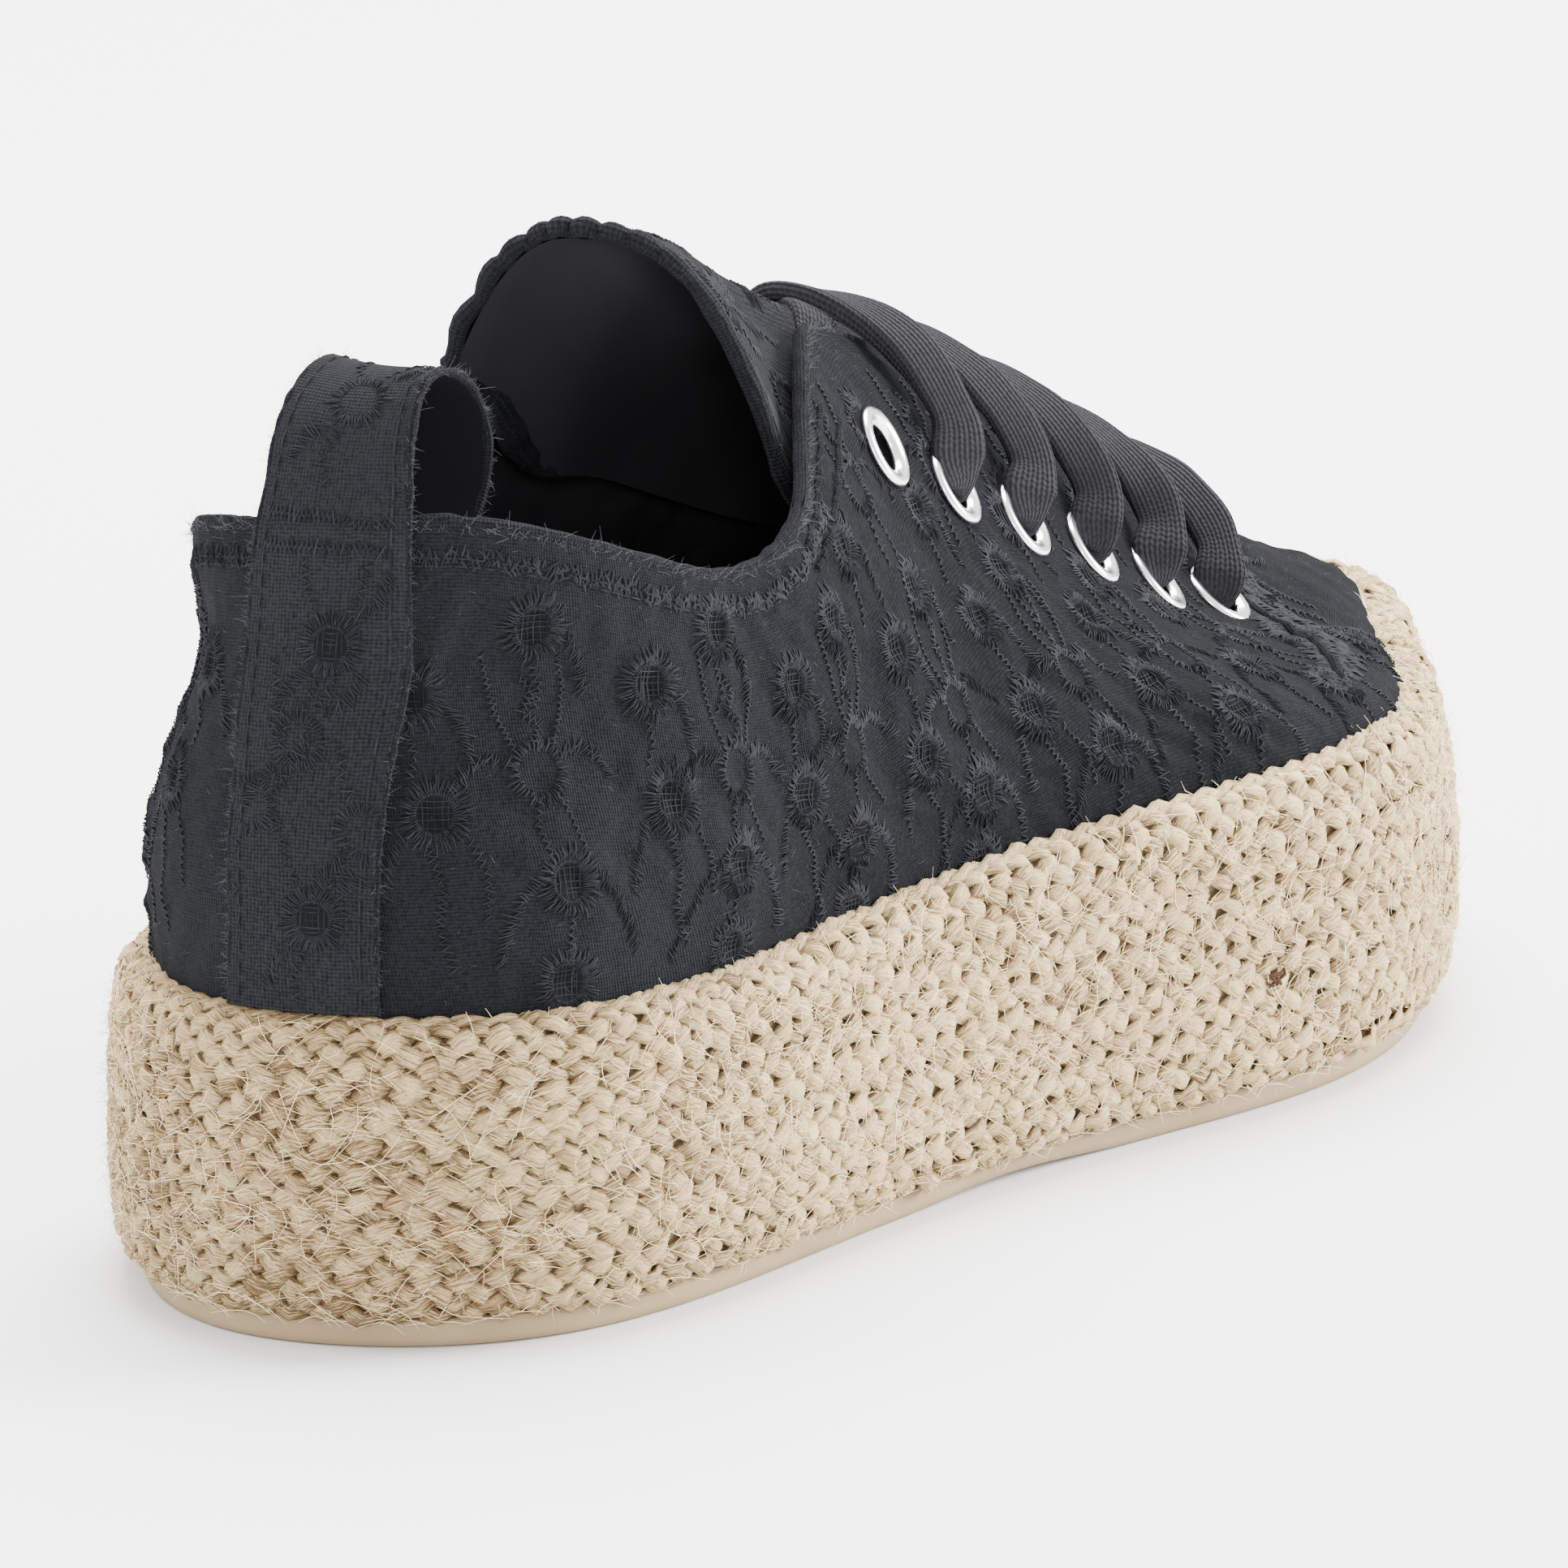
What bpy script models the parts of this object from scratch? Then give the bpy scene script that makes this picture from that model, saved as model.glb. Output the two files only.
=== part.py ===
"""Low lace-up sneaker on a braided jute platform, right foot.

The shoe stands on its outsole. +X points to the toe, +Y to the inner (medial)
side of the foot, +Z up. The origin is under the middle of the shoe, on the
floor. Lengths are given in millimetres and turned into metres by MM.
"""
import math

import bmesh
import bpy
import numpy as np
from mathutils import Matrix, Vector

MM = 0.001

# ---------------------------------------------------------------- driving sizes
SOLE_LENGTH = 268.0
GAP = 0.3                   # clearance between neighbouring pieces
OUTSOLE_THICKNESS = 3.4
OUTSOLE_INSET = 3.0         # outsole edge, inside the widest line of the jute
WAIST_LIFT = 0.8            # arch of the tread between heel and forefoot
GROOVE_DEPTH = 1.2
GROOVE_WIDTH = 1.8
GROOVE_PITCH = 9.0
TRAY_DEPTH = 8.0            # the upper stands this far below the jute's rim
UPPER_INSET = 4.8           # outside of the upper, inside the widest jute line
TOE_INSET = 4.3             # added to it at the toe, where the jute's rim is broad
TOE_LEAN = 2.0              # how far the jute leans in at the toe's rim
UPPER_WALL = 1.8
SEAT_EASE = 0.9             # extra room beside the upper, which bulges in the tray
INSOLE_THICKNESS = 4.0
TONGUE_WALL = 2.0
TONGUE_CLEARANCE = 1.6      # from the facing's inside, measured square to it
TONGUE_TOP_X = -56.0
TONGUE_LENGTH = 128.0
TONGUE_HALF = 20.5          # half width at the top
TONGUE_END_HALF = 13.5      # and under the throat's end
TONGUE_SWEEP = 11.0         # its outer corner lies forward of its top
TONGUE_WING = 2.0           # and its inner corner behind it
TONGUE_SQUEEZE = 0.08       # the inner half falls more steeply near the top
STRIP_WIDTH = 17.0          # heel strip that runs up into the pull loop
STRIP_THICKNESS = 1.2
STRIP_LIFT = 0.45           # off the bent heel
STRIP_CENTRE_Y = -3.2
EYELET_BORE = 5.2
EYELET_FLANGE = 10.4
EYELET_COUNT = 6
FIRST_EYELET_X = -18.5
LAST_EYELET_X = 69.5
EYELET_ROW = 18.5           # each eyelet row, off the throat's middle line
LACE_WIDTH = 8.0
LACE_THICKNESS = 2.2
LACE_LIFT = 0.9             # underside of a lace, off the facing
EYELET_LIFT = 1.35          # underside of an eyelet's flange, off the bent facing
EYELET_TOP = 2.0            # top of the flange, off the facing

# share of the sole's length from the heel, middle line, half width
SOLE_STATIONS = (
    (0.00, -1.5, 0.0),
    (0.08, -1.5, 32.0),
    (0.20, 1.0, 40.5),
    (0.35, -2.0, 39.0),
    (0.50, -2.5, 44.5),
    (0.62, -3.0, 50.0),
    (0.72, -1.5, 50.0),
    (0.82, 2.0, 44.5),
    (0.92, 7.0, 33.3),
    (0.97, 7.8, 24.3),
    (1.00, 8.0, 0.0),
)
# share of the sole's length, height of the jute's rim, lift of the tread
PLATFORM_STATIONS = (
    (0.00, 37.0, 0.0),
    (0.15, 36.5, 0.0),
    (0.35, 38.5, 0.0),
    (0.55, 40.5, 0.0),
    (0.72, 41.5, 0.0),
    (0.82, 42.0, 1.0),
    (0.92, 43.8, 4.2),
    (1.00, 46.0, 8.2),
)
# x, middle line of the upper, to the inner side
MIDDLE_STATIONS = (
    (-134.0, -1.5),
    (-100.0, -1.2),
    (-72.0, -0.4),
    (-46.0, 0.0),
    (0.0, 0.5),
    (40.0, 0.8),
    (84.0, 2.4),
    (126.0, 8.0),
)
# x, ridge height, height at the eyelet row, fullness of the arch
ROOF_STATIONS = (
    (-56.0, 117.2, 103.0, 2.8),
    (-46.0, 114.8, 98.0, 2.8),
    (-36.0, 110.8, 93.8, 2.5),
    (-18.5, 103.0, 86.3, 2.2),
    (-1.0, 97.8, 78.4, 1.95),
    (16.5, 91.6, 71.5, 1.9),
    (34.0, 84.6, 64.9, 1.9),
    (52.0, 76.8, 58.2, 1.9),
    (69.5, 69.0, 52.0, 1.9),
    (86.0, 62.5, 48.5, 2.0),
)
# Ribs of the upper, from the heel to the toe on one side. A rib climbs from the
# sole over a mid point and the eyelet row's height to the top edge:
# sole share, then x, half width and z of the mid point, of the line above it and
# of the edge. Where z is None the point lies on the roof over the instep.
RIBS = (
    (0.00, -128.8, 0.0, 57.0, -125.5, 0.0, 76.0, -122.5, 0.0, 93.0),
    (0.03, -124.5, 15.0, 57.0, -121.2, 11.5, 76.0, -119.8, 11.0, 92.8),
    (0.08, -113.5, 25.5, 56.0, -111.0, 19.5, 76.0, -112.8, 20.0, 91.2),
    (0.16, -97.0, 32.5, 54.0, -97.5, 28.5, 71.0, -99.0, 27.0, 86.3),
    (0.24, -80.0, 35.0, 52.5, -82.0, 33.0, 66.0, -84.0, 30.3, 81.6),
    (0.31, -64.5, 35.5, 53.0, -67.5, 34.0, 66.0, -71.0, 31.3, 80.6),
    (0.37, -50.0, 35.5, 54.0, -54.0, 33.0, 69.0, -60.0, 30.3, 84.0),
    (0.42, -35.5, 35.5, 55.0, -42.0, 30.5, 72.5, -51.0, 26.3, 88.0),
    (0.46, -24.0, 35.0, 56.0, -31.0, 26.0, 77.0, -42.0, 21.0, 93.0),
    (0.50, -12.0, 34.5, 57.0, -19.0, 21.0, 81.5, -32.0, 15.3, None),
    (0.545, 1.0, 34.0, 57.5, -6.0, 18.5, None, -21.0, 9.3, None),
    (0.59, 13.0, 33.8, 57.0, 6.0, 18.5, None, -8.0, 6.3, None),
    (0.64, 27.0, 33.0, 55.0, 21.0, 18.5, None, 11.0, 6.3, None),
    (0.71, 48.0, 32.0, 51.5, 43.0, 18.5, None, 36.0, 6.3, None),
    (0.78, 69.0, 30.0, 48.8, 63.0, 18.5, None, 58.0, 6.3, None),
    (0.87, 91.0, 24.0, 48.3, 81.0, 15.0, None, 73.0, 5.5, None),
    (0.95, 108.5, 16.0, 49.6, 94.0, 9.5, 56.0, 77.5, 3.3, None),
    (1.00, 114.0, 0.0, 50.6, 98.5, 0.0, 57.0, 79.0, 0.0, None),
)
COLLAR_TILT = 0.09          # the heel's collar stands higher on the outer side
# side view of the heel strip above the collar: x, z of its middle surface
LOOP_PATH = (
    (-122.5, 95.5),
    (-120.8, 101.5),
    (-117.0, 107.0),
    (-111.5, 109.8),
    (-105.5, 108.5),
    (-101.4, 104.0),
    (-100.0, 98.0),
    (-101.8, 92.5),
    (-106.0, 88.5),
)

AROUND = 76                 # points around the sole and the upper
UP = 11                     # points up a rib


# ---------------------------------------------------------------- curves
def natural_spline(knots, values):
    """Return a smooth function through values at knots (natural cubic)."""
    x = np.asarray(knots, float)
    y = np.asarray(values, float)
    n = len(x)
    h = np.diff(x)
    system = np.eye(n)
    right = np.zeros((n,) + y.shape[1:])
    for i in range(1, n - 1):
        system[i, i - 1:i + 2] = (h[i - 1], 2 * (h[i - 1] + h[i]), h[i])
        right[i] = 6 * ((y[i + 1] - y[i]) / h[i] - (y[i] - y[i - 1]) / h[i - 1])
    bend = np.linalg.solve(system, right)

    def curve(at):
        i = int(np.clip(np.searchsorted(x, at) - 1, 0, n - 2))
        a = (x[i + 1] - at) / h[i]
        b = 1 - a
        return (a * y[i] + b * y[i + 1]
                + ((a ** 3 - a) * bend[i] + (b ** 3 - b) * bend[i + 1]) * h[i] ** 2 / 6)
    return curve


def closed_spline(values):
    """Return a smooth closed curve through values at 0, 1, 2 ..."""
    y = np.asarray(values, float)
    n = len(y)
    system = np.zeros((n, n))
    for i in range(n):
        system[i, i] = 4
        system[i, i - 1] = 1
        system[i, (i + 1) % n] = 1
    bend = np.linalg.solve(system, 6 * (np.roll(y, 1, 0) - 2 * y + np.roll(y, -1, 0)))

    def curve(at):
        i = int(math.floor(at)) % n
        j = (i + 1) % n
        b = at - math.floor(at)
        a = 1 - b
        return (a * y[i] + b * y[j]
                + ((a ** 3 - a) * bend[i] + (b ** 3 - b) * bend[j]) / 6)
    return curve


# ---------------------------------------------------------------- sole outline
def share_angle(share):
    """The sole runs from angle 0 at the heel to pi at the toe."""
    return math.acos(1 - 2 * share)


ANGLES = [share_angle(row[0]) for row in SOLE_STATIONS]
MIDDLE = natural_spline(ANGLES, [row[1] for row in SOLE_STATIONS])
HALF_WIDTH = natural_spline(ANGLES, [row[2] for row in SOLE_STATIONS])
PLATFORM = natural_spline([row[0] for row in PLATFORM_STATIONS],
                          [row[1:] for row in PLATFORM_STATIONS])
ROOF = natural_spline([row[0] for row in ROOF_STATIONS],
                      [row[1:] for row in ROOF_STATIONS])
MIDDLE_LINE = natural_spline([row[0] for row in MIDDLE_STATIONS],
                             [row[1] for row in MIDDLE_STATIONS])


def raw_outline(angle):
    """Widest line of the sole: 0 to pi is the outer side, pi to 2 pi the inner."""
    t = angle if angle <= math.pi else 2 * math.pi - angle
    side = -1 if angle <= math.pi else 1
    return np.array([-0.5 * math.cos(t) * SOLE_LENGTH,
                     MIDDLE(t) + side * HALF_WIDTH(t)])


FULL_TURN = [2 * math.pi * i / 360 for i in range(360)]
SIDE_SHIFT = -0.5 * (min(raw_outline(a)[1] for a in FULL_TURN)
                     + max(raw_outline(a)[1] for a in FULL_TURN))


def toe_part(angle):
    """0 behind the ball of the foot, 1 around the toe."""
    share = 0.5 - 0.5 * math.cos(angle)
    rise = min(1.0, max(0.0, (share - 0.72) / 0.16))
    return rise * rise * (3 - 2 * rise)


def outline(angle, inset=0.0, toe_inset=0.0):
    """Point of the sole outline, moved square to the edge by inset."""
    step = 0.01
    inset = inset + toe_inset * toe_part(angle)
    near = angle % (2 * math.pi)
    before = raw_outline((near - step) % (2 * math.pi))
    after = raw_outline((near + step) % (2 * math.pi))
    along = after - before
    along /= np.linalg.norm(along)
    inward = np.array([-along[1], along[0]])
    return raw_outline(near) + inward * inset + np.array([0.0, SIDE_SHIFT])


def rim_height(x):
    return float(PLATFORM(x / SOLE_LENGTH + 0.5)[0])


def tread_lift(x):
    return max(0.0, float(PLATFORM(x / SOLE_LENGTH + 0.5)[1]))


def roof(x, half):
    """Height of the instep's outside at a distance from its middle line."""
    ridge, row, fullness = ROOF(x)
    return ridge - (ridge - row) * (half / EYELET_ROW) ** fullness


def middle(x):
    return float(MIDDLE_LINE(x)) + SIDE_SHIFT


# ---------------------------------------------------------------- mesh helpers
def new_material(name, colour, roughness, metallic=0.0):
    material = bpy.data.materials.new(name)
    material.use_nodes = True
    shader = material.node_tree.nodes["Principled BSDF"]
    shader.inputs["Base Color"].default_value = (*colour, 1.0)
    shader.inputs["Roughness"].default_value = roughness
    shader.inputs["Metallic"].default_value = metallic
    return material


def add_object(name, mesh, material, collection):
    piece = bpy.data.objects.new(name, mesh)
    collection.objects.link(piece)
    piece.data.materials.append(material)
    return piece


def mesh_from(bm, name):
    bmesh.ops.recalc_face_normals(bm, faces=bm.faces)
    mesh = bpy.data.meshes.new(name)
    bm.to_mesh(mesh)
    bm.free()
    mesh.shade_smooth()
    mesh.set_sharp_from_angle(angle=math.radians(40))
    return mesh


def ring(bm, points):
    return [bm.verts.new(Vector(point) * MM) for point in points]


def bridge(bm, lower, upper):
    count = len(lower)
    for i in range(count):
        j = (i + 1) % count
        bm.faces.new((lower[i], lower[j], upper[j], upper[i]))


def cap_across(bm, points):
    """Close a ring whose point 0 is at the heel with strips from side to side."""
    count = len(points)
    half = count // 2
    bm.faces.new((points[0], points[1], points[-1]))
    for i in range(1, half - 1):
        bm.faces.new((points[i], points[i + 1], points[count - i - 1], points[count - i]))
    bm.faces.new((points[half - 1], points[half], points[half + 1]))


def sole_ring(bm, inset, toe_inset, height):
    """Ring around the sole; height gives z from x."""
    points = []
    for i in range(AROUND):
        x, y = outline(2 * math.pi * i / AROUND, inset, toe_inset)
        points.append((x, y, height(x)))
    return ring(bm, points)


def loft_sole(name, rows):
    """Solid from rows of (inset, toe inset, height function), bottom first."""
    bm = bmesh.new()
    rings = [sole_ring(bm, *row) for row in rows]
    for lower, upper in zip(rings, rings[1:]):
        bridge(bm, lower, upper)
    cap_across(bm, rings[0])
    cap_across(bm, rings[-1])
    return mesh_from(bm, name)


# ---------------------------------------------------------------- the sole
def outsole_underside(x):
    """Floor contact at heel and forefoot, a low arch at the waist, toe spring."""
    share = x / SOLE_LENGTH + 0.5
    arch = math.sin(math.pi * (share - 0.32) / 0.18) ** 2 if 0.32 < share < 0.50 else 0.0
    return tread_lift(x) + WAIST_LIFT * arch


def outsole_top(x):
    return OUTSOLE_THICKNESS + tread_lift(x)


def make_outsole(collection, cutters, material):
    mesh = loft_sole("outsole", (
        (OUTSOLE_INSET + 0.8, 0.0, outsole_underside),
        (OUTSOLE_INSET, 0.0, lambda x: outsole_underside(x) + 0.8),
        (OUTSOLE_INSET, 0.0, outsole_top),
    ))
    piece = add_object("outsole", mesh, material, collection)
    bm = bmesh.new()
    for first, last in ((-112.0, -58.0), (4.0, 58.0)):
        for i in range(int((last - first) / GROOVE_PITCH) + 1):
            place = Matrix.Translation(Vector((first + i * GROOVE_PITCH, 0, 0)) * MM)
            size = Matrix.Diagonal((GROOVE_WIDTH * MM, 140 * MM, 2 * GROOVE_DEPTH * MM, 1))
            bmesh.ops.create_cube(bm, size=1.0, matrix=place @ size)
    cutter = add_object("tread_grooves", mesh_from(bm, "tread_grooves"), material, cutters)
    cutter.hide_render = True
    cutter.display_type = "WIRE"
    cut = piece.modifiers.new("tread grooves", "BOOLEAN")
    cut.operation = "DIFFERENCE"
    cut.object = cutter
    return piece


def tray_floor(x):
    return rim_height(x) - TRAY_DEPTH


def make_platform(collection, material):
    """Wound jute: full sides, a rounded rim, and a tray that holds the upper."""
    tray_inset = UPPER_INSET - GAP - SEAT_EASE
    mesh = loft_sole("jute_platform", (
        (1.6, 0.0, lambda x: outsole_top(x) + GAP),
        (0.3, 0.0, lambda x: outsole_top(x) + 3.0),
        (0.0, 0.0, lambda x: outsole_top(x) + 12.0),
        (0.2, 0.5 * TOE_LEAN, lambda x: rim_height(x) - 8.0),
        (0.9, TOE_LEAN, lambda x: rim_height(x) - 3.0),
        (2.0, TOE_LEAN, lambda x: rim_height(x) - 0.8),
        (3.2, 0.5 * (TOE_LEAN + TOE_INSET), lambda x: rim_height(x)),
        (tray_inset, TOE_INSET, lambda x: rim_height(x) - 1.0),
        (tray_inset, TOE_INSET, tray_floor),
    ))
    return add_object("jute_platform", mesh, material, collection)


def make_insole(collection, material):
    edge = UPPER_INSET + UPPER_WALL + GAP + SEAT_EASE
    mesh = loft_sole("insole", (
        (edge, TOE_INSET, lambda x: tray_floor(x) + GAP),
        (edge, TOE_INSET, lambda x: tray_floor(x) + GAP + INSOLE_THICKNESS - 1.0),
        (edge + 1.0, TOE_INSET, lambda x: tray_floor(x) + GAP + INSOLE_THICKNESS),
    ))
    return add_object("insole", mesh, material, collection)


# ---------------------------------------------------------------- the upper
def rib_points(row):
    """x, half width and z of a rib's mid, line, shoulder and edge points."""
    points = [row[1:4], row[4:7], row[7:10]]
    points = [(x, half, roof(x, half) if z is None else z) for x, half, z in points]
    x, half, z = 0.5 * (np.array(points[1]) + np.array(points[2]))
    points.insert(2, (x, half, z if row[9] is not None else roof(x, half)))
    return points


def build_rib_curves():
    """Closed curves of sole angle and of the four upper points of the ribs."""
    outer = [(row, -1) for row in RIBS]
    inner = [(row, 1) for row in reversed(RIBS[1:-1])]
    count = len(outer) + len(inner)
    angles = []
    points = ([], [], [], [])
    for index, (row, side) in enumerate(outer + inner):
        angle = share_angle(row[0])
        if side == 1:
            angle = 2 * math.pi - angle
        angles.append(angle - 2 * math.pi * index / count)
        for level, (x, half, z) in zip(points, rib_points(row)):
            if level is points[-1] and x < FIRST_EYELET_X:
                z -= side * half * COLLAR_TILT * min(1.0, (FIRST_EYELET_X - x) / 80.0)
            level.append((x, middle(x) + side * half, z))
    return count, closed_spline(angles), [closed_spline(level) for level in points]


RIB_COUNT, RIB_ANGLE, RIB_LEVELS = build_rib_curves()


def rib_curve(at):
    """Smooth rib of the upper at a place around it, as a function of 0 to 1."""
    angle = RIB_ANGLE(at) + 2 * math.pi * (at % RIB_COUNT) / RIB_COUNT
    foot = outline(angle, UPPER_INSET, TOE_INSET)
    wall = outline(angle, UPPER_INSET, TOE_INSET)
    base = tray_floor(foot[0]) + GAP
    points = [(*foot, base), (*wall, base + TRAY_DEPTH + 1.0)]
    points = np.array(points + [level(at) for level in RIB_LEVELS])
    lengths = np.linalg.norm(np.diff(points, axis=0), axis=1) ** 0.75
    knots = np.concatenate([[0.0], np.cumsum(lengths)]) / lengths.sum()
    return natural_spline(knots, points)


def upper_point(at, height):
    return rib_curve(at)(height)


def upper_normal(at, height):
    """Outward direction of the upper's surface."""
    step = 0.02
    around = upper_point(at + step, height) - upper_point(at - step, height)
    up = upper_point(at, min(1.0, height + step)) - upper_point(at, max(0.0, height - step))
    normal = np.cross(around, up)
    return normal / np.linalg.norm(normal)


def make_upper(collection, cutters, material):
    bm = bmesh.new()
    rows = []
    curves = [rib_curve(RIB_COUNT * i / AROUND) for i in range(AROUND)]
    for j in range(UP):
        rows.append(ring(bm, [curve(j / (UP - 1)) for curve in curves]))
    for lower, upper in zip(rows, rows[1:]):
        bridge(bm, lower, upper)
    piece = add_object("upper", mesh_from(bm, "upper"), material, collection)
    wall = piece.modifiers.new("wall", "SOLIDIFY")
    wall.thickness = UPPER_WALL * MM
    wall.offset = -1.0
    wall.use_even_offset = True
    bm = bmesh.new()
    for place in eyelet_frames():
        bmesh.ops.create_cone(bm, cap_ends=True, segments=16,
                              radius1=(EYELET_BORE / 2 + 0.4 + GAP) * MM,
                              radius2=(EYELET_BORE / 2 + 0.4 + GAP) * MM,
                              depth=9 * MM, matrix=place)
    cutter = add_object("eyelet_holes", mesh_from(bm, "eyelet_holes"), material, cutters)
    cutter.hide_render = True
    cutter.display_type = "WIRE"
    cut = piece.modifiers.new("eyelet holes", "BOOLEAN")
    cut.operation = "DIFFERENCE"
    cut.object = cutter
    return piece


# ---------------------------------------------------------------- eyelets
def eyelet_spots():
    """Places of the eyelets: (x, side), top pair first."""
    pitch = (LAST_EYELET_X - FIRST_EYELET_X) / (EYELET_COUNT - 1)
    return [(FIRST_EYELET_X + i * pitch, side)
            for i in range(EYELET_COUNT) for side in (-1, 1)]


def surface_at(x, y):
    """Point and outward normal of the upper over a place in plan."""
    side = -1 if y < middle(x) else 1
    lower, upper = (6.0, 16.0) if side == -1 else (RIB_COUNT - 16.0, RIB_COUNT - 6.0)
    guess = np.array([0.5 * (lower + upper), 0.75])
    for _ in range(40):
        here = upper_point(*guess)[:2]
        step = 1e-3
        along = (upper_point(guess[0] + step, guess[1])[:2] - here) / step
        up = (upper_point(guess[0], guess[1] + step)[:2] - here) / step
        move = np.linalg.solve(np.column_stack([along, up]), np.array([x, y]) - here)
        guess = guess + np.clip(move, (-1.0, -0.1), (1.0, 0.1))
        guess = np.clip(guess, (lower, 0.05), (upper, 0.99))
    return upper_point(*guess), upper_normal(*guess)


def eyelet_frames():
    """Matrices with the eyelet's middle on the outside face and +Z outward."""
    frames = []
    for x, side in eyelet_spots():
        point, normal = surface_at(x, middle(x) + side * EYELET_ROW)
        turn = Vector((0, 0, 1)).rotation_difference(Vector(normal)).to_matrix().to_4x4()
        frames.append(Matrix.Translation(Vector(point) * MM) @ turn)
    return frames


def make_eyelets(collection, material):
    """Turned rings: a flange on the outside and a barrel through the facing."""
    bore = EYELET_BORE / 2
    flange = EYELET_FLANGE / 2
    profile = ((bore + 0.4, -UPPER_WALL), (bore + 0.4, EYELET_LIFT), (flange, EYELET_LIFT),
               (flange - 1.6, EYELET_TOP), (bore, EYELET_LIFT + 0.3), (bore, -UPPER_WALL))
    names = [f"eyelet_{'outer' if side == -1 else 'inner'}_{1 + i // 2}"
             for i, (_, side) in enumerate(eyelet_spots())]
    bm = bmesh.new()
    first = [bm.verts.new(Vector((r, 0, z)) * MM) for r, z in profile]
    edges = [bm.edges.new((first[i], first[(i + 1) % len(first)])) for i in range(len(first))]
    bmesh.ops.spin(bm, geom=first + edges, cent=(0, 0, 0), axis=(0, 0, 1),
                   angle=2 * math.pi, steps=12, use_merge=True)
    bmesh.ops.remove_doubles(bm, verts=bm.verts, dist=1e-6)
    mesh = mesh_from(bm, "eyelet")
    for name, frame in zip(names, eyelet_frames()):
        piece = add_object(name, mesh, material, collection) if not mesh.materials else None
        if piece is None:
            piece = bpy.data.objects.new(name, mesh)
            collection.objects.link(piece)
        piece.matrix_world = frame


# ---------------------------------------------------------------- tongue
def smooth_step(value, start, end):
    part = min(1.0, max(0.0, (value - start) / (end - start)))
    return part * part * (3 - 2 * part)


def tongue_outside(x, half):
    """Tongue surface: the instep's roof, and lower where facings or vamp cover it."""
    ridge, row, fullness = ROOF(x)
    tilt = fullness * (ridge - row) / EYELET_ROW * (half / EYELET_ROW) ** (fullness - 1)
    depth = (UPPER_WALL + TONGUE_CLEARANCE) * math.sqrt(1 + tilt ** 2)
    facing = smooth_step(half, 2.5, 6.0) * smooth_step(x, -52.0, -34.0)
    cover = max(facing, smooth_step(x, 55.0, 72.0))
    return roof(x, half) - depth * cover


def make_tongue(collection, material):
    """Padded cloth shell from above the collar to under the throat."""
    across, along = 16, 20
    bm = bmesh.new()
    rows = []
    for i in range(along + 1):
        s = i / along
        half = TONGUE_HALF + (TONGUE_END_HALF - TONGUE_HALF) * s
        row = []
        for j in range(across + 1):
            t = half * (2 * j / across - 1)
            sweep = TONGUE_SWEEP if t < 0 else -TONGUE_WING
            x = TONGUE_TOP_X + s * TONGUE_LENGTH + (1 - s) * sweep * (t / half) ** 2
            squeeze = TONGUE_SQUEEZE * (1 - smooth_step(s, 0.0, 0.3)) if t > 0 else 0.0
            row.append((x, middle(x) + t * (1 - squeeze), tongue_outside(x, abs(t))))
        rows.append(ring(bm, row))
    for lower, upper in zip(rows, rows[1:]):
        for j in range(across):
            bm.faces.new((lower[j], upper[j], upper[j + 1], lower[j + 1]))
    mesh = mesh_from(bm, "tongue")
    piece = add_object("tongue", mesh, material, collection)
    wall = piece.modifiers.new("wall", "SOLIDIFY")
    wall.thickness = TONGUE_WALL * MM
    wall.offset = -1.0
    wall.use_even_offset = True
    return piece


# ---------------------------------------------------------------- heel strip
def make_pull_loop(collection, material):
    """Strip up the back seam that carries on above the collar as a loop."""
    across = 4
    rows = []
    for j in range(9):
        height = 0.16 + (0.985 - 0.16) * j / 8
        row = []
        for i in range(across + 1):
            y = STRIP_CENTRE_Y + STRIP_WIDTH * (i / across - 0.5)
            at = heel_rib_at(y, height)
            point = upper_point(at, height)
            normal = upper_normal(at, height)
            row.append(point + normal * (STRIP_LIFT + STRIP_THICKNESS))
        rows.append(row)
    count = len(LOOP_PATH)
    path = natural_spline(range(count), LOOP_PATH)
    outer = rows[-1]
    middle = outer[across // 2]
    for j in range(1, 15):
        x, z = path(0.3 + (count - 1.3) * j / 14)
        flat = min(1.0, j / 4)
        row = []
        for i in range(across + 1):
            bulge = (outer[i][0] - middle[0]) * (1 - flat)
            y = STRIP_CENTRE_Y + (STRIP_WIDTH - 1.5 * flat) * (i / across - 0.5)
            row.append(np.array([x + bulge, y, z]))
        rows.append(row)
    bm = bmesh.new()
    lines = [ring(bm, row) for row in rows]
    for lower, upper in zip(lines, lines[1:]):
        for i in range(across):
            bm.faces.new((lower[i], lower[i + 1], upper[i + 1], upper[i]))
    mesh = mesh_from(bm, "pull_loop")
    piece = add_object("pull_loop", mesh, material, collection)
    wall = piece.modifiers.new("wall", "SOLIDIFY")
    wall.thickness = STRIP_THICKNESS * MM
    wall.offset = -1.0
    wall.use_even_offset = True
    return piece


def heel_rib_at(y, height):
    """Place around the upper, near the heel, where a rib has this y."""
    low, high = -3.0, 3.0
    for _ in range(40):
        middle = 0.5 * (low + high)
        if upper_point(middle, height)[1] > y:
            low = middle
        else:
            high = middle
    return 0.5 * (low + high)


# ---------------------------------------------------------------- lace
def throat_half(x):
    """Half width of the throat between the facings."""
    low, high = 9.0, 17.0
    for _ in range(30):
        at = 0.5 * (low + high)
        if RIB_LEVELS[-1](at)[0] < x:
            low = at
        else:
            high = at
    return middle(x) - RIB_LEVELS[-1](low)[1]


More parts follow.
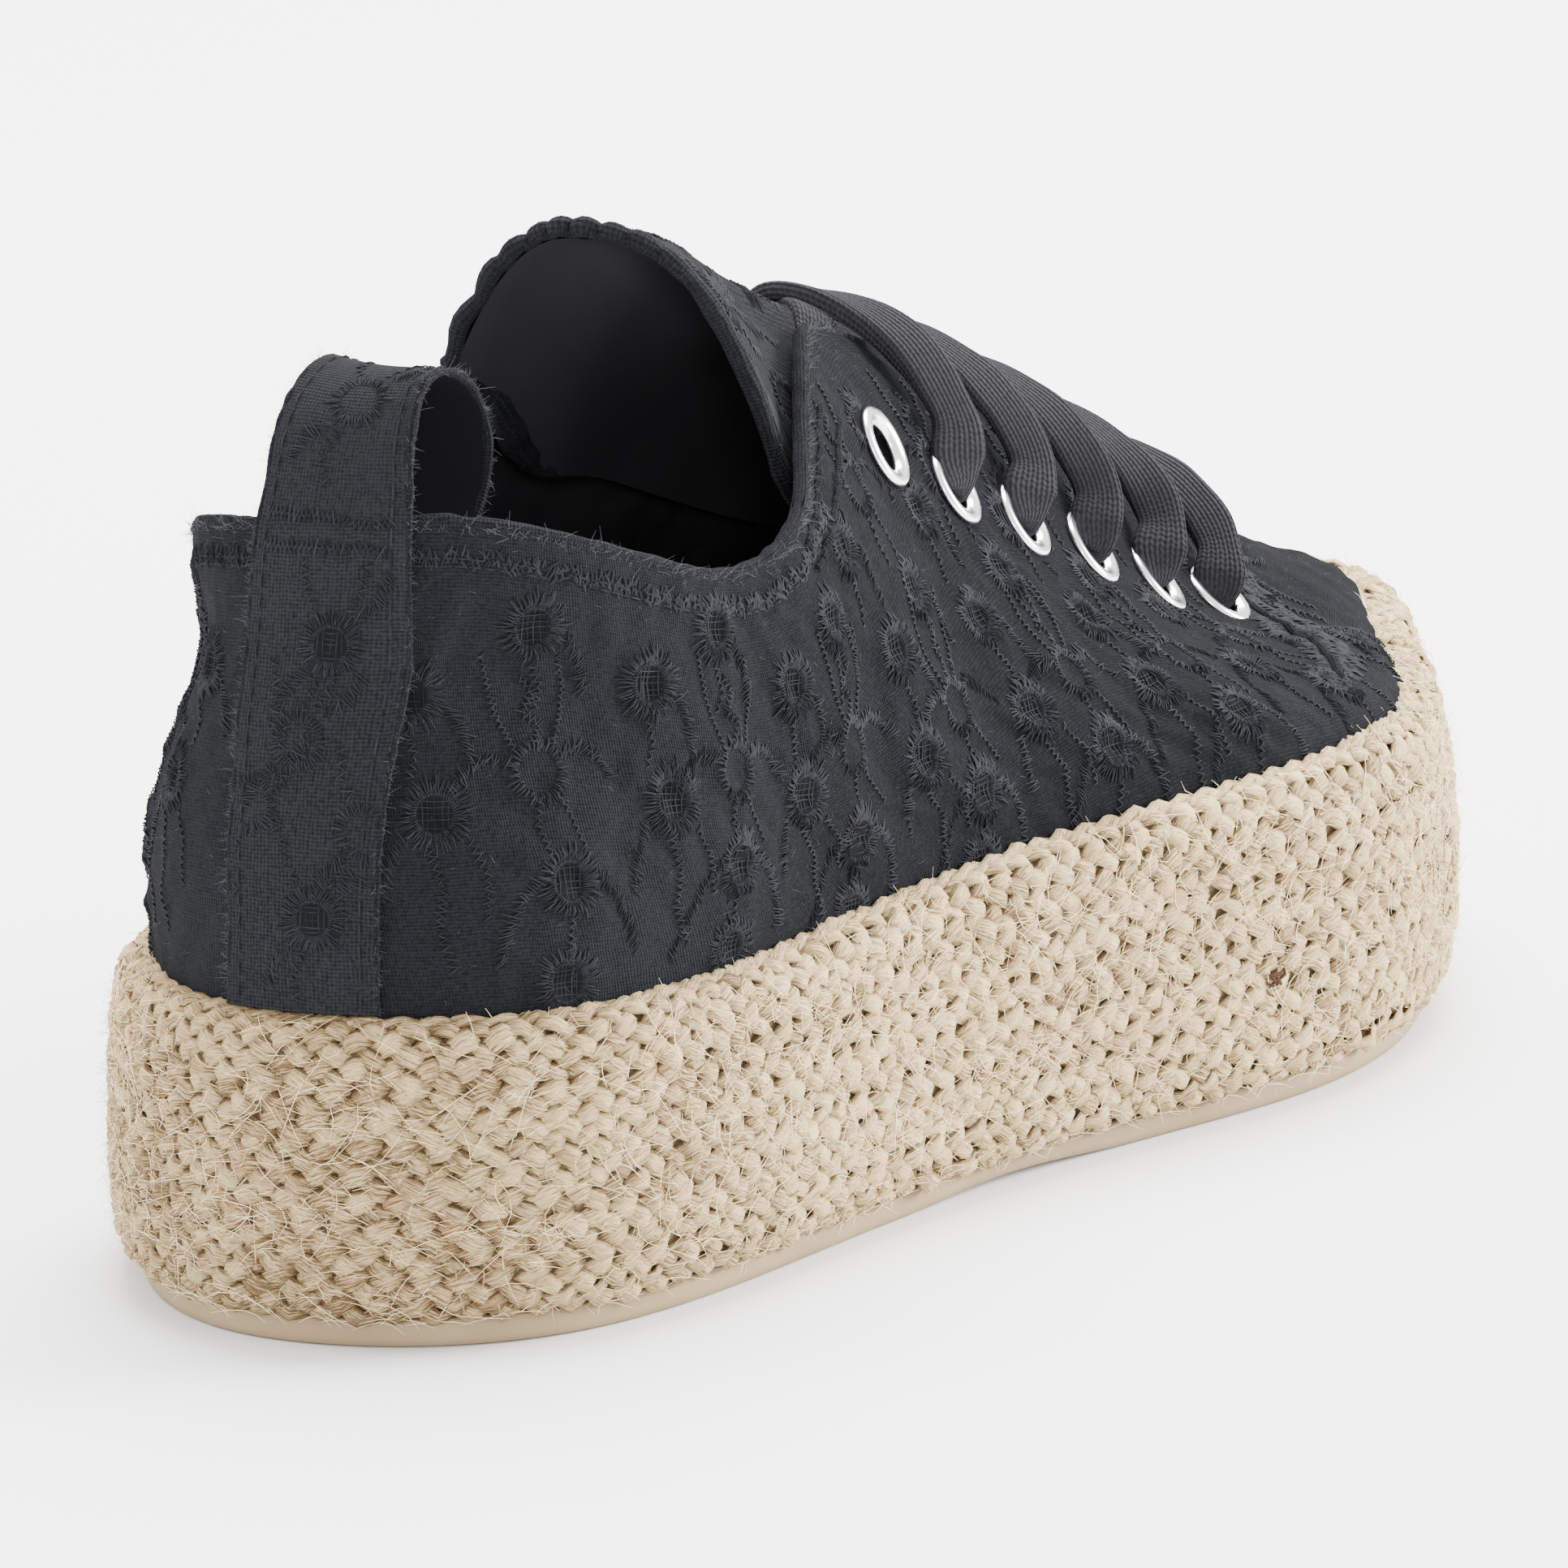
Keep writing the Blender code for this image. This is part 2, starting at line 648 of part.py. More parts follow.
def roof_point(x, across):
    """Point and normal of the roof at a signed distance from the middle line."""
    step = 0.05
    height = roof(x, abs(across))
    along = (roof(x + step, abs(across)) - height) / step
    side = math.copysign(1, across)
    slope = side * (roof(x, abs(across) + step) - height) / step
    normal = np.array([-along, -slope, 1.0])
    return np.array([x, middle(x) + across, height]), normal / np.linalg.norm(normal)


def strap_mesh(name, first_x, side, lift):
    """Flat lace from over its eyelet to the far facing's edge."""
    pitch = (LAST_EYELET_X - FIRST_EYELET_X) / (EYELET_COUNT - 1)
    end = throat_half(first_x - pitch / 2) - LACE_THICKNESS
    steps = 9
    seat = EYELET_TOP - lift + GAP
    centres, normals = [], []
    for i in range(steps + 1):
        across = -EYELET_ROW + (end + EYELET_ROW) * i / steps
        x = first_x - pitch * (across + EYELET_ROW) / (2 * EYELET_ROW)
        if across < -throat_half(x):
            point, normal = surface_at(x, middle(x) + side * -across)
        else:
            point, normal = roof_point(x, side * -across)
        raised = lift + seat * (1 - smooth_step(across, 4 - EYELET_ROW, 9 - EYELET_ROW))
        centres.append(point + normal * raised)
        normals.append(normal)
    bm = bmesh.new()
    rings = []
    for i in range(steps + 1):
        ahead = centres[min(i + 1, steps)] - centres[max(i - 1, 0)]
        wide = np.cross(normals[i], ahead)
        wide *= LACE_WIDTH / 2 / np.linalg.norm(wide)
        high = normals[i] * LACE_THICKNESS
        rings.append(ring(bm, (centres[i] - wide, centres[i] + wide,
                               centres[i] + wide + high, centres[i] - wide + high)))
    for lower, upper in zip(rings, rings[1:]):
        bridge(bm, lower, upper)
    bm.faces.new(rings[0])
    bm.faces.new(rings[-1])
    return mesh_from(bm, name)


def make_lace_crossings(collection, cutters, material):
    """Each crossing is two laces joined where they pass over the tongue."""
    pitch = (LAST_EYELET_X - FIRST_EYELET_X) / (EYELET_COUNT - 1)
    for i in range(1, EYELET_COUNT):
        x = FIRST_EYELET_X + i * pitch
        name = f"lace_crossing_{i}"
        piece = add_object(name, strap_mesh(name, x, -1, LACE_LIFT), material, collection)
        other_name = f"lace_strap_{i}"
        mesh = strap_mesh(other_name, x, 1, LACE_LIFT + 0.2)
        other = add_object(other_name, mesh, material, cutters)
        other.hide_render = True
        other.display_type = "WIRE"
        join = piece.modifiers.new("crossing lace", "BOOLEAN")
        join.operation = "UNION"
        join.object = other


# ---------------------------------------------------------------- assembly
def clear_scene():
    for piece in list(bpy.data.objects):
        bpy.data.objects.remove(piece, do_unlink=True)


def new_collection(name):
    collection = bpy.data.collections.new(name)
    bpy.context.scene.collection.children.link(collection)
    return collection


def build():
    clear_scene()
    shoe = new_collection("espadrille_sneaker")
    cutters = new_collection("cutters")
    rubber = new_material("outsole_rubber", (0.55, 0.47, 0.33), 0.6)
    jute = new_material("jute_braid", (0.62, 0.52, 0.38), 0.9)
    lining = new_material("insole_cloth", (0.03, 0.03, 0.035), 0.9)
    cotton = new_material("black_cotton", (0.025, 0.027, 0.032), 0.85)
    woven = new_material("black_lace", (0.018, 0.018, 0.02), 0.9)
    silver = new_material("silver_metal", (0.85, 0.84, 0.82), 0.2, 1.0)
    make_outsole(shoe, cutters, rubber)
    make_platform(shoe, jute)
    make_insole(shoe, lining)
    make_upper(shoe, cutters, cotton)
    make_tongue(shoe, cotton)
    make_pull_loop(shoe, cotton)
    make_eyelets(shoe, silver)
    make_lace_crossings(shoe, cutters, woven)


build()
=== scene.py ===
# %% [markdown]
# # Black embroidered sneaker on a braided jute platform
#
# One right shoe stands on a pale floor and is seen from behind and from its outer
# side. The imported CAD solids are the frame: each visual piece below follows the same
# named sizes, takes the place of one solid and rides on it. Lengths are written in
# millimetres and turned into metres where a mesh is made.

# %%
import math

import bmesh
import bpy
import numpy as np
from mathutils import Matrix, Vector


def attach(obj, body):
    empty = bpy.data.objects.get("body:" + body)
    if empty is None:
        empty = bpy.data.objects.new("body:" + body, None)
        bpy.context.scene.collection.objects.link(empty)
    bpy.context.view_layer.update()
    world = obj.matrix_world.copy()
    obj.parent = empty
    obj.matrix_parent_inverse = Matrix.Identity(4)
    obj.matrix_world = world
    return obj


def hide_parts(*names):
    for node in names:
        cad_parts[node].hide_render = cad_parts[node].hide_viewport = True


MM = 0.001
TURN = 2 * math.pi
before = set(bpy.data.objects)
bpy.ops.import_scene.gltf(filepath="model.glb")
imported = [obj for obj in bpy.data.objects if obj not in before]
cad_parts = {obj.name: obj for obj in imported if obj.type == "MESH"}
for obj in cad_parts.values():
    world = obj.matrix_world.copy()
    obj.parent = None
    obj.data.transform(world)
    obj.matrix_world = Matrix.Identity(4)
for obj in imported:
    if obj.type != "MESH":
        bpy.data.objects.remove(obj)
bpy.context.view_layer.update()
dice = np.random.default_rng(7)

# %% [markdown]
# ## Sizes
# The tables are those of the CAD part: the sole's outline, the jute's rim, the
# instep's roof and the ribs of the upper, with a row for each section.

# %%
SOLE_LENGTH = 268.0
OUTSOLE_THICKNESS = 3.4
OUTSOLE_INSET = 3.0
UPPER_INSET = 4.8
TOE_INSET = 4.3
TOE_LEAN = 2.0
TRAY_DEPTH = 8.0
UPPER_WALL = 1.8
GAP = 0.3
EYELET_ROW = 18.5
EYELET_COUNT = 6
FIRST_EYELET_X = -18.5
LAST_EYELET_X = 69.5
EYELET_PITCH = (LAST_EYELET_X - FIRST_EYELET_X) / (EYELET_COUNT - 1)
COLLAR_TILT = 0.09
TONGUE_WALL = 2.0
TONGUE_CLEARANCE = 1.6
TONGUE_TOP_X = -56.0
TONGUE_LENGTH = 128.0
TONGUE_HALF = 20.5
TONGUE_END_HALF = 13.5
TONGUE_SWEEP = 11.0
TONGUE_WING = 2.0
TONGUE_SQUEEZE = 0.08
STRIP_WIDTH = 17.0
STRIP_THICKNESS = 1.2
STRIP_LIFT = 0.45
STRIP_CENTRE_Y = -3.2

# share of the sole's length from the heel, middle line, half width
SOLE_STATIONS = (
    (0.00, -1.5, 0.0), (0.08, -1.5, 32.0), (0.20, 1.0, 40.5), (0.35, -2.0, 39.0),
    (0.50, -2.5, 44.5), (0.62, -3.0, 50.0), (0.72, -1.5, 50.0), (0.82, 2.0, 44.5),
    (0.92, 7.0, 33.3), (0.97, 7.8, 24.3), (1.00, 8.0, 0.0))
# share of the sole's length, height of the jute's rim, lift of the tread
PLATFORM_STATIONS = (
    (0.00, 37.0, 0.0), (0.15, 36.5, 0.0), (0.35, 38.5, 0.0), (0.55, 40.5, 0.0),
    (0.72, 41.5, 0.0), (0.82, 42.0, 1.0), (0.92, 43.8, 4.2), (1.00, 46.0, 8.2))
# x, middle line of the upper, to the inner side
MIDDLE_STATIONS = (
    (-134.0, -1.5), (-100.0, -1.2), (-72.0, -0.4), (-46.0, 0.0),
    (0.0, 0.5), (40.0, 0.8), (84.0, 2.4), (126.0, 8.0))
# x, ridge height, height at the eyelet row, fullness of the arch
ROOF_STATIONS = (
    (-56.0, 117.2, 103.0, 2.8), (-46.0, 114.8, 98.0, 2.8), (-36.0, 110.8, 93.8, 2.5),
    (-18.5, 103.0, 86.3, 2.2), (-1.0, 97.8, 78.4, 1.95), (16.5, 91.6, 71.5, 1.9),
    (34.0, 84.6, 64.9, 1.9), (52.0, 76.8, 58.2, 1.9), (69.5, 69.0, 52.0, 1.9),
    (86.0, 62.5, 48.5, 2.0))
# sole share, then x, half width and z of a rib's mid point, of the line above it
# and of its edge; None puts the point on the roof
RIBS = (
    (0.00, -128.8, 0.0, 57.0, -125.5, 0.0, 76.0, -122.5, 0.0, 93.0),
    (0.03, -124.5, 15.0, 57.0, -121.2, 11.5, 76.0, -119.8, 11.0, 92.8),
    (0.08, -113.5, 25.5, 56.0, -111.0, 19.5, 76.0, -112.8, 20.0, 91.2),
    (0.16, -97.0, 32.5, 54.0, -97.5, 28.5, 71.0, -99.0, 27.0, 86.3),
    (0.24, -80.0, 35.0, 52.5, -82.0, 33.0, 66.0, -84.0, 30.3, 81.6),
    (0.31, -64.5, 35.5, 53.0, -67.5, 34.0, 66.0, -71.0, 31.3, 80.6),
    (0.37, -50.0, 35.5, 54.0, -54.0, 33.0, 69.0, -60.0, 30.3, 84.0),
    (0.42, -35.5, 35.5, 55.0, -42.0, 30.5, 72.5, -51.0, 26.3, 88.0),
    (0.46, -24.0, 35.0, 56.0, -31.0, 26.0, 77.0, -42.0, 21.0, 93.0),
    (0.50, -12.0, 34.5, 57.0, -19.0, 21.0, 81.5, -32.0, 15.3, None),
    (0.545, 1.0, 34.0, 57.5, -6.0, 18.5, None, -21.0, 9.3, None),
    (0.59, 13.0, 33.8, 57.0, 6.0, 18.5, None, -8.0, 6.3, None),
    (0.64, 27.0, 33.0, 55.0, 21.0, 18.5, None, 11.0, 6.3, None),
    (0.71, 48.0, 32.0, 51.5, 43.0, 18.5, None, 36.0, 6.3, None),
    (0.78, 69.0, 30.0, 48.8, 63.0, 18.5, None, 58.0, 6.3, None),
    (0.87, 91.0, 24.0, 48.3, 81.0, 15.0, None, 73.0, 5.5, None),
    (0.95, 108.5, 16.0, 49.6, 94.0, 9.5, 56.0, 77.5, 3.3, None),
    (1.00, 114.0, 0.0, 50.6, 98.5, 0.0, 57.0, 79.0, 0.0, None),
)
# x and z of the pull loop above the collar
LOOP_PATH = (
    (-122.5, 95.5), (-120.8, 101.5), (-117.0, 107.0), (-111.5, 109.8), (-105.5, 108.5),
    (-101.4, 104.0), (-100.0, 98.0), (-101.8, 92.5), (-106.0, 88.5))
print("ribs in the table:", len(RIBS))

# %% [markdown]
# ## Curves
# Smooth curves through the rows of a table. They take many places at once, so a
# whole surface is worked out in one call.

# %%
def natural_spline(knots, values):
    """Curve through rows of values, straight at both ends."""
    x = np.asarray(knots, float)
    y = np.asarray(values, float).reshape(len(x), -1)
    n, h = len(x), np.diff(x)
    system, right = np.eye(n), np.zeros(y.shape)
    for i in range(1, n - 1):
        system[i, i - 1:i + 2] = (h[i - 1], 2 * (h[i - 1] + h[i]), h[i])
        right[i] = 6 * ((y[i + 1] - y[i]) / h[i] - (y[i] - y[i - 1]) / h[i - 1])
    bend = np.linalg.solve(system, right)

    def curve(at):
        at = np.asarray(at, float)
        i = np.clip(np.searchsorted(x, at) - 1, 0, n - 2)
        a = ((x[i + 1] - at) / h[i])[..., None]
        b = 1 - a
        return (a * y[i] + b * y[i + 1]
                + ((a ** 3 - a) * bend[i] + (b ** 3 - b) * bend[i + 1]) * h[i][..., None] ** 2 / 6)
    return curve


def closed_spline(values):
    """Curve that closes on itself and meets a row of values at each whole number."""
    y = np.asarray(values, float).reshape(len(values), -1)
    n = len(y)
    system = 4 * np.eye(n) + np.roll(np.eye(n), 1, 0) + np.roll(np.eye(n), -1, 0)
    bend = np.linalg.solve(system, 6 * (np.roll(y, 1, 0) - 2 * y + np.roll(y, -1, 0)))

    def curve(at):
        i = np.floor(at).astype(int) % n
        j = (i + 1) % n
        b = (at - np.floor(at))[..., None]
        a = 1 - b
        return a * y[i] + b * y[j] + ((a ** 3 - a) * bend[i] + (b ** 3 - b) * bend[j]) / 6
    return curve


def table_curve(rows):
    """Spline of a table whose first column holds the knots."""
    return natural_spline([row[0] for row in rows], [row[1:] for row in rows])


def smooth_step(value, start, end):
    part = np.clip((value - start) / (end - start), 0, 1)
    return part * part * (3 - 2 * part)


def unit(vectors):
    return vectors / np.maximum(np.linalg.norm(vectors, axis=-1, keepdims=True), 1e-9)


def left_of(ahead):
    """Flat vectors turned a quarter to the left."""
    return np.stack([-ahead[..., 1], ahead[..., 0]], -1)


def around(radius, turn):
    """Flat offsets at a distance and a turn."""
    return np.stack([radius * np.cos(turn), radius * np.sin(turn)], -1)


def travelled(points, power=1.0):
    """Length gone, from 0, at each of the points in a row."""
    steps = np.linalg.norm(np.diff(points, axis=-2), axis=-1) ** power
    return np.concatenate([np.zeros((*steps.shape[:-1], 1)), np.cumsum(steps, -1)], -1)


def interp_points(at, knots, points):
    """Points between the rows of a table, column by column."""
    return np.stack([np.interp(at, knots, column) for column in np.asarray(points).T], -1)


def resampled(points, spacing):
    """Even steps along a flat line: length gone, place and direction at each."""
    gone = travelled(points)
    at = np.linspace(0, gone[-1], max(3, int(gone[-1] / spacing)))
    spots = interp_points(at, gone, points)
    return at, spots, unit(np.gradient(spots, axis=0))


def share_angle(share):
    """Turn around the sole at which a share of its length is reached."""
    return math.acos(1 - 2 * share)


SOLE_CURVE = table_curve([(share_angle(row[0]), *row[1:]) for row in SOLE_STATIONS])
PLATFORM = table_curve(PLATFORM_STATIONS)
ROOF = table_curve(ROOF_STATIONS)
MIDDLE_LINE = table_curve(MIDDLE_STATIONS)


def raw_outline(angle):
    """Widest line of the sole: 0 to pi is the outer side, pi to 2 pi the inner."""
    angle = np.asarray(angle, float) % TURN
    t = np.where(angle <= math.pi, angle, TURN - angle)
    side = np.where(angle <= math.pi, -1, 1)
    line, half = np.moveaxis(SOLE_CURVE(t), -1, 0)
    return np.stack([-0.5 * np.cos(t) * SOLE_LENGTH, line + side * half], -1)


FULL_TURN = raw_outline(TURN * np.arange(360) / 360)[:, 1]
SIDE_SHIFT = -0.5 * (FULL_TURN.min() + FULL_TURN.max())


def outline(angle, inset, toe_inset=0.0):
    """Points of the outline moved inward, square to the edge."""
    inset = inset + toe_inset * smooth_step(0.5 - 0.5 * np.cos(angle), 0.72, 0.88)
    inward = left_of(unit(raw_outline(angle + 0.01) - raw_outline(angle - 0.01)))
    return raw_outline(angle) + inward * np.asarray(inset)[..., None] + [0, SIDE_SHIFT]


def rim_height(x):
    return PLATFORM(x / SOLE_LENGTH + 0.5)[..., 0]


def tread_lift(x):
    return np.maximum(0, PLATFORM(x / SOLE_LENGTH + 0.5)[..., 1])


def middle(x):
    return MIDDLE_LINE(x)[..., 0] + SIDE_SHIFT


def roof(x, half):
    """Height of the instep at a distance from its middle line."""
    ridge, row, fullness = np.moveaxis(ROOF(x), -1, 0)
    return ridge - (ridge - row) * (np.abs(half) / EYELET_ROW) ** fullness


print("sole:", SOLE_LENGTH, "mm long, shifted", round(float(SIDE_SHIFT), 2), "mm to its middle")

# %% [markdown]
# ## Mesh helpers
# A patch is a flat grid whose vertices are mapped to a surface. Threads, plaits and
# fibres are many tubes joined in one mesh, built from arrays. Each mesh has a UV map
# in metres, so the shaders know how wide a thread is.

# %%
def finish_piece(mesh, material, *nodes, slot="black_cotton"):
    """Make the object, attach it to the root body and hide the solids that it stands for."""
    piece = bpy.data.objects.new(mesh.name, mesh)
    bpy.context.scene.collection.objects.link(piece)
    mesh.materials.append(material)
    mesh.shade_smooth()
    if nodes:
        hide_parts(*nodes)
    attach(piece, "root")
    print(f"{mesh.name}: {sum(len(p.vertices) - 2 for p in mesh.polygons)} triangles")


def patch(name, across, along, place, size, wrap=False, hole=None, inward=False):
    """Mesh of a grid mapped by place(u, v), which takes shares and gives mm."""
    bm = bmesh.new()
    bmesh.ops.create_grid(bm, x_segments=across, y_segments=along, size=0.5)
    flat = np.array([v.co[:2] for v in bm.verts]) + 0.5
    layer = bm.loops.layers.uv.new("UVMap")
    bm.verts.index_update()
    for face in bm.faces:
        for loop in face.loops:
            loop[layer].uv = flat[loop.vert.index] * np.array(size) * MM
    for vertex, point in zip(bm.verts, place(*flat.T)):
        vertex.co = Vector(point) * MM
    if hole:
        gone = [f for f in bm.faces if hole(np.array(f.calc_center_median()) / MM)]
        bmesh.ops.delete(bm, geom=gone, context="FACES")
    if wrap:
        bmesh.ops.remove_doubles(bm, verts=bm.verts, dist=1e-7)
    mesh = bpy.data.meshes.new(name)
    bm.to_mesh(mesh)
    bm.free()
    if inward:
        mesh.flip_normals()
    return mesh


def array_mesh(name, vertices, faces, uv=None, tone=None):
    """Mesh from arrays: vertices in mm, quads, a UV for each corner, a tone for each vertex."""
    mesh = bpy.data.meshes.new(name)
    mesh.vertices.add(len(vertices))
    mesh.vertices.foreach_set("co", (vertices * MM).astype(np.float32).ravel())
    mesh.loops.add(4 * len(faces))
    mesh.loops.foreach_set("vertex_index", faces.astype(np.int32).ravel())
    mesh.polygons.add(len(faces))
    mesh.polygons.foreach_set("loop_start", np.arange(0, 4 * len(faces), 4, dtype=np.int32))
    uv = np.zeros((4 * len(faces), 2)) if uv is None else uv
    mesh.uv_layers.new(name="UVMap").data.foreach_set("uv", uv.astype(np.float32).ravel())
    if tone is not None:
        attribute = mesh.attributes.new("tone", "FLOAT", "POINT")
        attribute.data.foreach_set("value", tone.astype(np.float32).ravel())
    mesh.update(calc_edges=True)
    mesh.validate()
    return mesh


def tubes(name, paths, ups, wide, high, sides=6, power=2.0, tone=None, closed=False):
    """Joined tubes. paths and ups are (tubes, points, 3); wide and high are half sizes."""
    paths, ups = (np.reshape(a, (-1, *a.shape[-2:])) for a in (paths, ups))
    count, steps = paths.shape[:2]
    if closed:
        ahead = unit(np.roll(paths, -1, 1) - np.roll(paths, 1, 1))
    else:
        ahead = unit(np.gradient(paths, axis=1))
    side = unit(np.cross(ahead, ups))
    top = np.cross(side, ahead)
    shape = around(1.0, TURN * (np.arange(sides) + 0.5) / sides).T
    shape = np.sign(shape) * np.abs(shape) ** (2 / power)
    wide, high = (np.broadcast_to(a, (count, steps))[..., None, None] for a in (wide, high))
    rings = (paths[:, :, None] + side[:, :, None] * shape[0][:, None] * wide
             + top[:, :, None] * shape[1][:, None] * high)
    index = np.arange(count * steps * sides).reshape(count, steps, sides)
    beside = np.roll(index, -1, 2)
    last = steps if closed else steps - 1
    faces = np.stack([index, np.roll(index, -1, 1), np.roll(beside, -1, 1), beside], -1)[:, :last]
    length = np.linalg.norm(np.diff(paths, axis=1, append=paths[:, :1]), axis=2)
    start = np.concatenate([np.zeros((count, 1)), np.cumsum(length, 1)], 1) * MM
    start = start + dice.uniform(0, 1, (count, 1))
    section = (shape * [[wide.mean()], [high.mean()]]).T
    girth = travelled(np.concatenate([section, section[:1]])) * MM
    uv = np.empty(faces.shape + (2,))
    uv[..., 0, 0] = uv[..., 3, 0] = start[:, :last, None]
    uv[..., 1, 0] = uv[..., 2, 0] = start[:, 1:last + 1, None]
    uv[..., 0, 1] = uv[..., 1, 1] = girth[:-1]
    uv[..., 3, 1] = uv[..., 2, 1] = girth[1:]
    if tone is not None:
        tone = np.broadcast_to(np.asarray(tone)[..., None], (count, steps, sides))
    return array_mesh(name, rings.reshape(-1, 3), faces.reshape(-1, 4), uv.reshape(-1, 2), tone)


def wander(count, steps, scale, amount=1.0):
    """Smooth random numbers along each of many tubes."""
    knots = max(4, int(steps / scale))
    values = dice.normal(0, amount, (count, knots))
    at = np.linspace(0, knots - 1, steps)
    low = np.clip(np.floor(at).astype(int), 0, knots - 2)
    part = smooth_step(at - low, 0, 1)
    return values[:, low] * (1 - part) + values[:, low + 1] * part


print("mesh helpers ready")

# %% [markdown]
# ## Charts
# A chart is a surface laid out flat, so that seams and stitches are placed in
# millimetres of cloth and find their height and normal by themselves.

# %%
class Chart:
    """A surface laid out flat: s runs along it and t up it."""

    def __init__(self, s, t, points):
        self.s, self.t, self.points = s, t, points
        self.along = np.gradient(points, s, axis=0)
        self.up = np.gradient(points, t, axis=1)
        self.normals = unit(np.cross(self.along, self.up))

    def raised(self, height):
        """The same chart with each point moved out by its height."""
        return Chart(self.s, self.t, self.points + self.normals * height[..., None])

    def sample(self, table, s, t):
        i = np.clip(np.interp(s, self.s, np.arange(len(self.s))), 0, len(self.s) - 1.001)
        j = np.clip(np.interp(t, self.t, np.arange(len(self.t))), 0, len(self.t) - 1.001)
        a, b = i.astype(int), j.astype(int)
        i, j = (i - a)[..., None], (j - b)[..., None]
        return ((1 - i) * (1 - j) * table[a, b] + i * (1 - j) * table[a + 1, b]
                + (1 - i) * j * table[a, b + 1] + i * j * table[a + 1, b + 1])

    def place(self, s, t, lift=0.0):
        """Points over some places of the chart, and the normals there."""
        normal = unit(self.sample(self.normals, s, t))
        return self.sample(self.points, s, t) + normal * np.asarray(lift)[..., None], normal

    def strip(self, length, width, lift):
        """place() of a patch that covers a chart with s from 0 and t about 0."""
        return lambda u, v: self.place(u * length, (v - 0.5) * width, lift)[0]

    def near(self, s, t, dx, dy):
        """Flat place that lies dx level and dy upward of (s, t) on the real cloth."""
        along, up = self.sample(self.along, s, t), self.sample(self.up, s, t)
        level = unit(along)
        lean = (up * level).sum(-1)
        rise = unit(up - level * lean[..., None])
        scale = np.linalg.norm(along, axis=-1)
        dt = dy / np.maximum((up * rise).sum(-1), 0.2)
        return s + (dx - lean * dt) / np.maximum(scale, 0.2), t + dt

    def nearest(self, spot, allowed=True):
        """Row and column of the point nearest to a spot."""
        apart = np.where(allowed, np.linalg.norm(self.points - spot, axis=2), np.inf)
        return np.unravel_index(np.argmin(apart), apart.shape)


print("charts ready")

# %% [markdown]
# ## Shader maths
# Sock wraps a shader socket, so that a formula reads as a formula.

# %%
class Sock:
    """A socket with arithmetic; node() adds any other shader node."""

    def __init__(self, tree, socket):
        self.tree, self.socket = tree, socket

    def node(self, kind, output=0, settings=(), **inputs):
        """A new node: i3=value feeds its input 3, Scale=value the input of that name."""
        node = self.tree.nodes.new("ShaderNode" + kind)
        for key, value in dict(settings).items():
            setattr(node, key, value)
        for key, value in inputs.items():
            port = node.inputs[int(key[1:]) if key[1:].isdigit() else key]
            if isinstance(value, Sock):
                self.tree.links.new(value.socket, port)
            else:
                port.default_value = value
        return Sock(self.tree, node.outputs[output])

    def maths(self, operation, *values):
        ports = {f"i{k}": value for k, value in enumerate(values)}
        return self.node("Math", 0, {"operation": operation}, **ports)

    __add__ = __radd__ = lambda a, b: a.maths("ADD", a, b)
    __mul__ = __rmul__ = lambda a, b: a.maths("MULTIPLY", a, b)
    __sub__ = lambda a, b: a.maths("SUBTRACT", a, b)
    __rsub__ = lambda a, b: a.maths("SUBTRACT", b, a)
    __pow__ = lambda a, b: a.maths("POWER", a, b)

    def sine(self):
        return self.maths("SINE", self)

    def clamp(self):
        return self.maths("MINIMUM", self.maths("MAXIMUM", self, 0.0), 1.0)

    def part(self, axis):
        return self.node("SeparateXYZ", axis, i0=self)

    def noise(self, scale, detail=2.0):
        return self.node("TexNoise", Vector=self, Scale=scale, Detail=detail)

    def grain(self, u, v, detail=2.0):
        """Noise stretched apart, for grain that runs along u."""
        apart = self.node("VectorMath", 0, {"operation": "MULTIPLY"}, i0=self, i1=(u, v, 1.0))
        return apart.noise(1.0, detail)

    def between(self, first, second):
        """Colour this share of the way from one to another; each is RGB or a Sock."""
        first, second = ((*c, 1.0) if isinstance(c, tuple) else c for c in (first, second))
        return self.node("Mix", 2, {"data_type": "RGBA"}, i0=self, i6=first, i7=second)


class Material:
    """A named Principled material whose inputs are constants or Socks."""

    def __init__(self, name, roughness, metallic=0.0, sheen=0.0, specular=0.5):
        self.data = bpy.data.materials.new(name)
        self.data.use_nodes = True
        tree = self.data.node_tree
        self.ports = tree.nodes["Principled BSDF"].inputs
        for port, value in (("Roughness", roughness), ("Metallic", metallic),
                            ("Sheen Weight", sheen), ("Sheen Roughness", 0.6),
                            ("Specular IOR Level", specular)):
            self.ports[port].default_value = value
        places = tree.nodes.new("ShaderNodeTexCoord").outputs
        self.uv, self.place = Sock(tree, places["UV"]), Sock(tree, places["Object"])

    def tone(self):
        """The tone that each tube was given; in the plait it also holds painted shade where a
        strand dives.
        """
        return self.uv.node("Attribute", "Fac", {"attribute_name": "tone"})

    def made(self, colour, height=None, strength=1.0, distance=0.0003):
        """The material with its colour and, from a height, its bump."""
        if isinstance(colour, tuple):
            self.ports["Base Color"].default_value = (*colour, 1.0)
        else:
            colour.tree.links.new(colour.socket, self.ports["Base Color"])
        if height:
            bump = height.node("Bump", Height=height, Strength=strength, Distance=distance)
            bump.tree.links.new(bump.socket, self.ports["Normal"])
        return self.data


print("shader maths ready")

# %% [markdown]
# ## Materials
# Their patterns come from the UV map in metres or from the place on the shoe: weave,
# slubs and lint for the cotton, grain for thread and jute, ribs for the knitted lace.

# %%
WEAVE = 14000            # phase of the cotton's threads for each metre
STRAND_GIRTH = 0.0055    # round one strand of jute, in metres


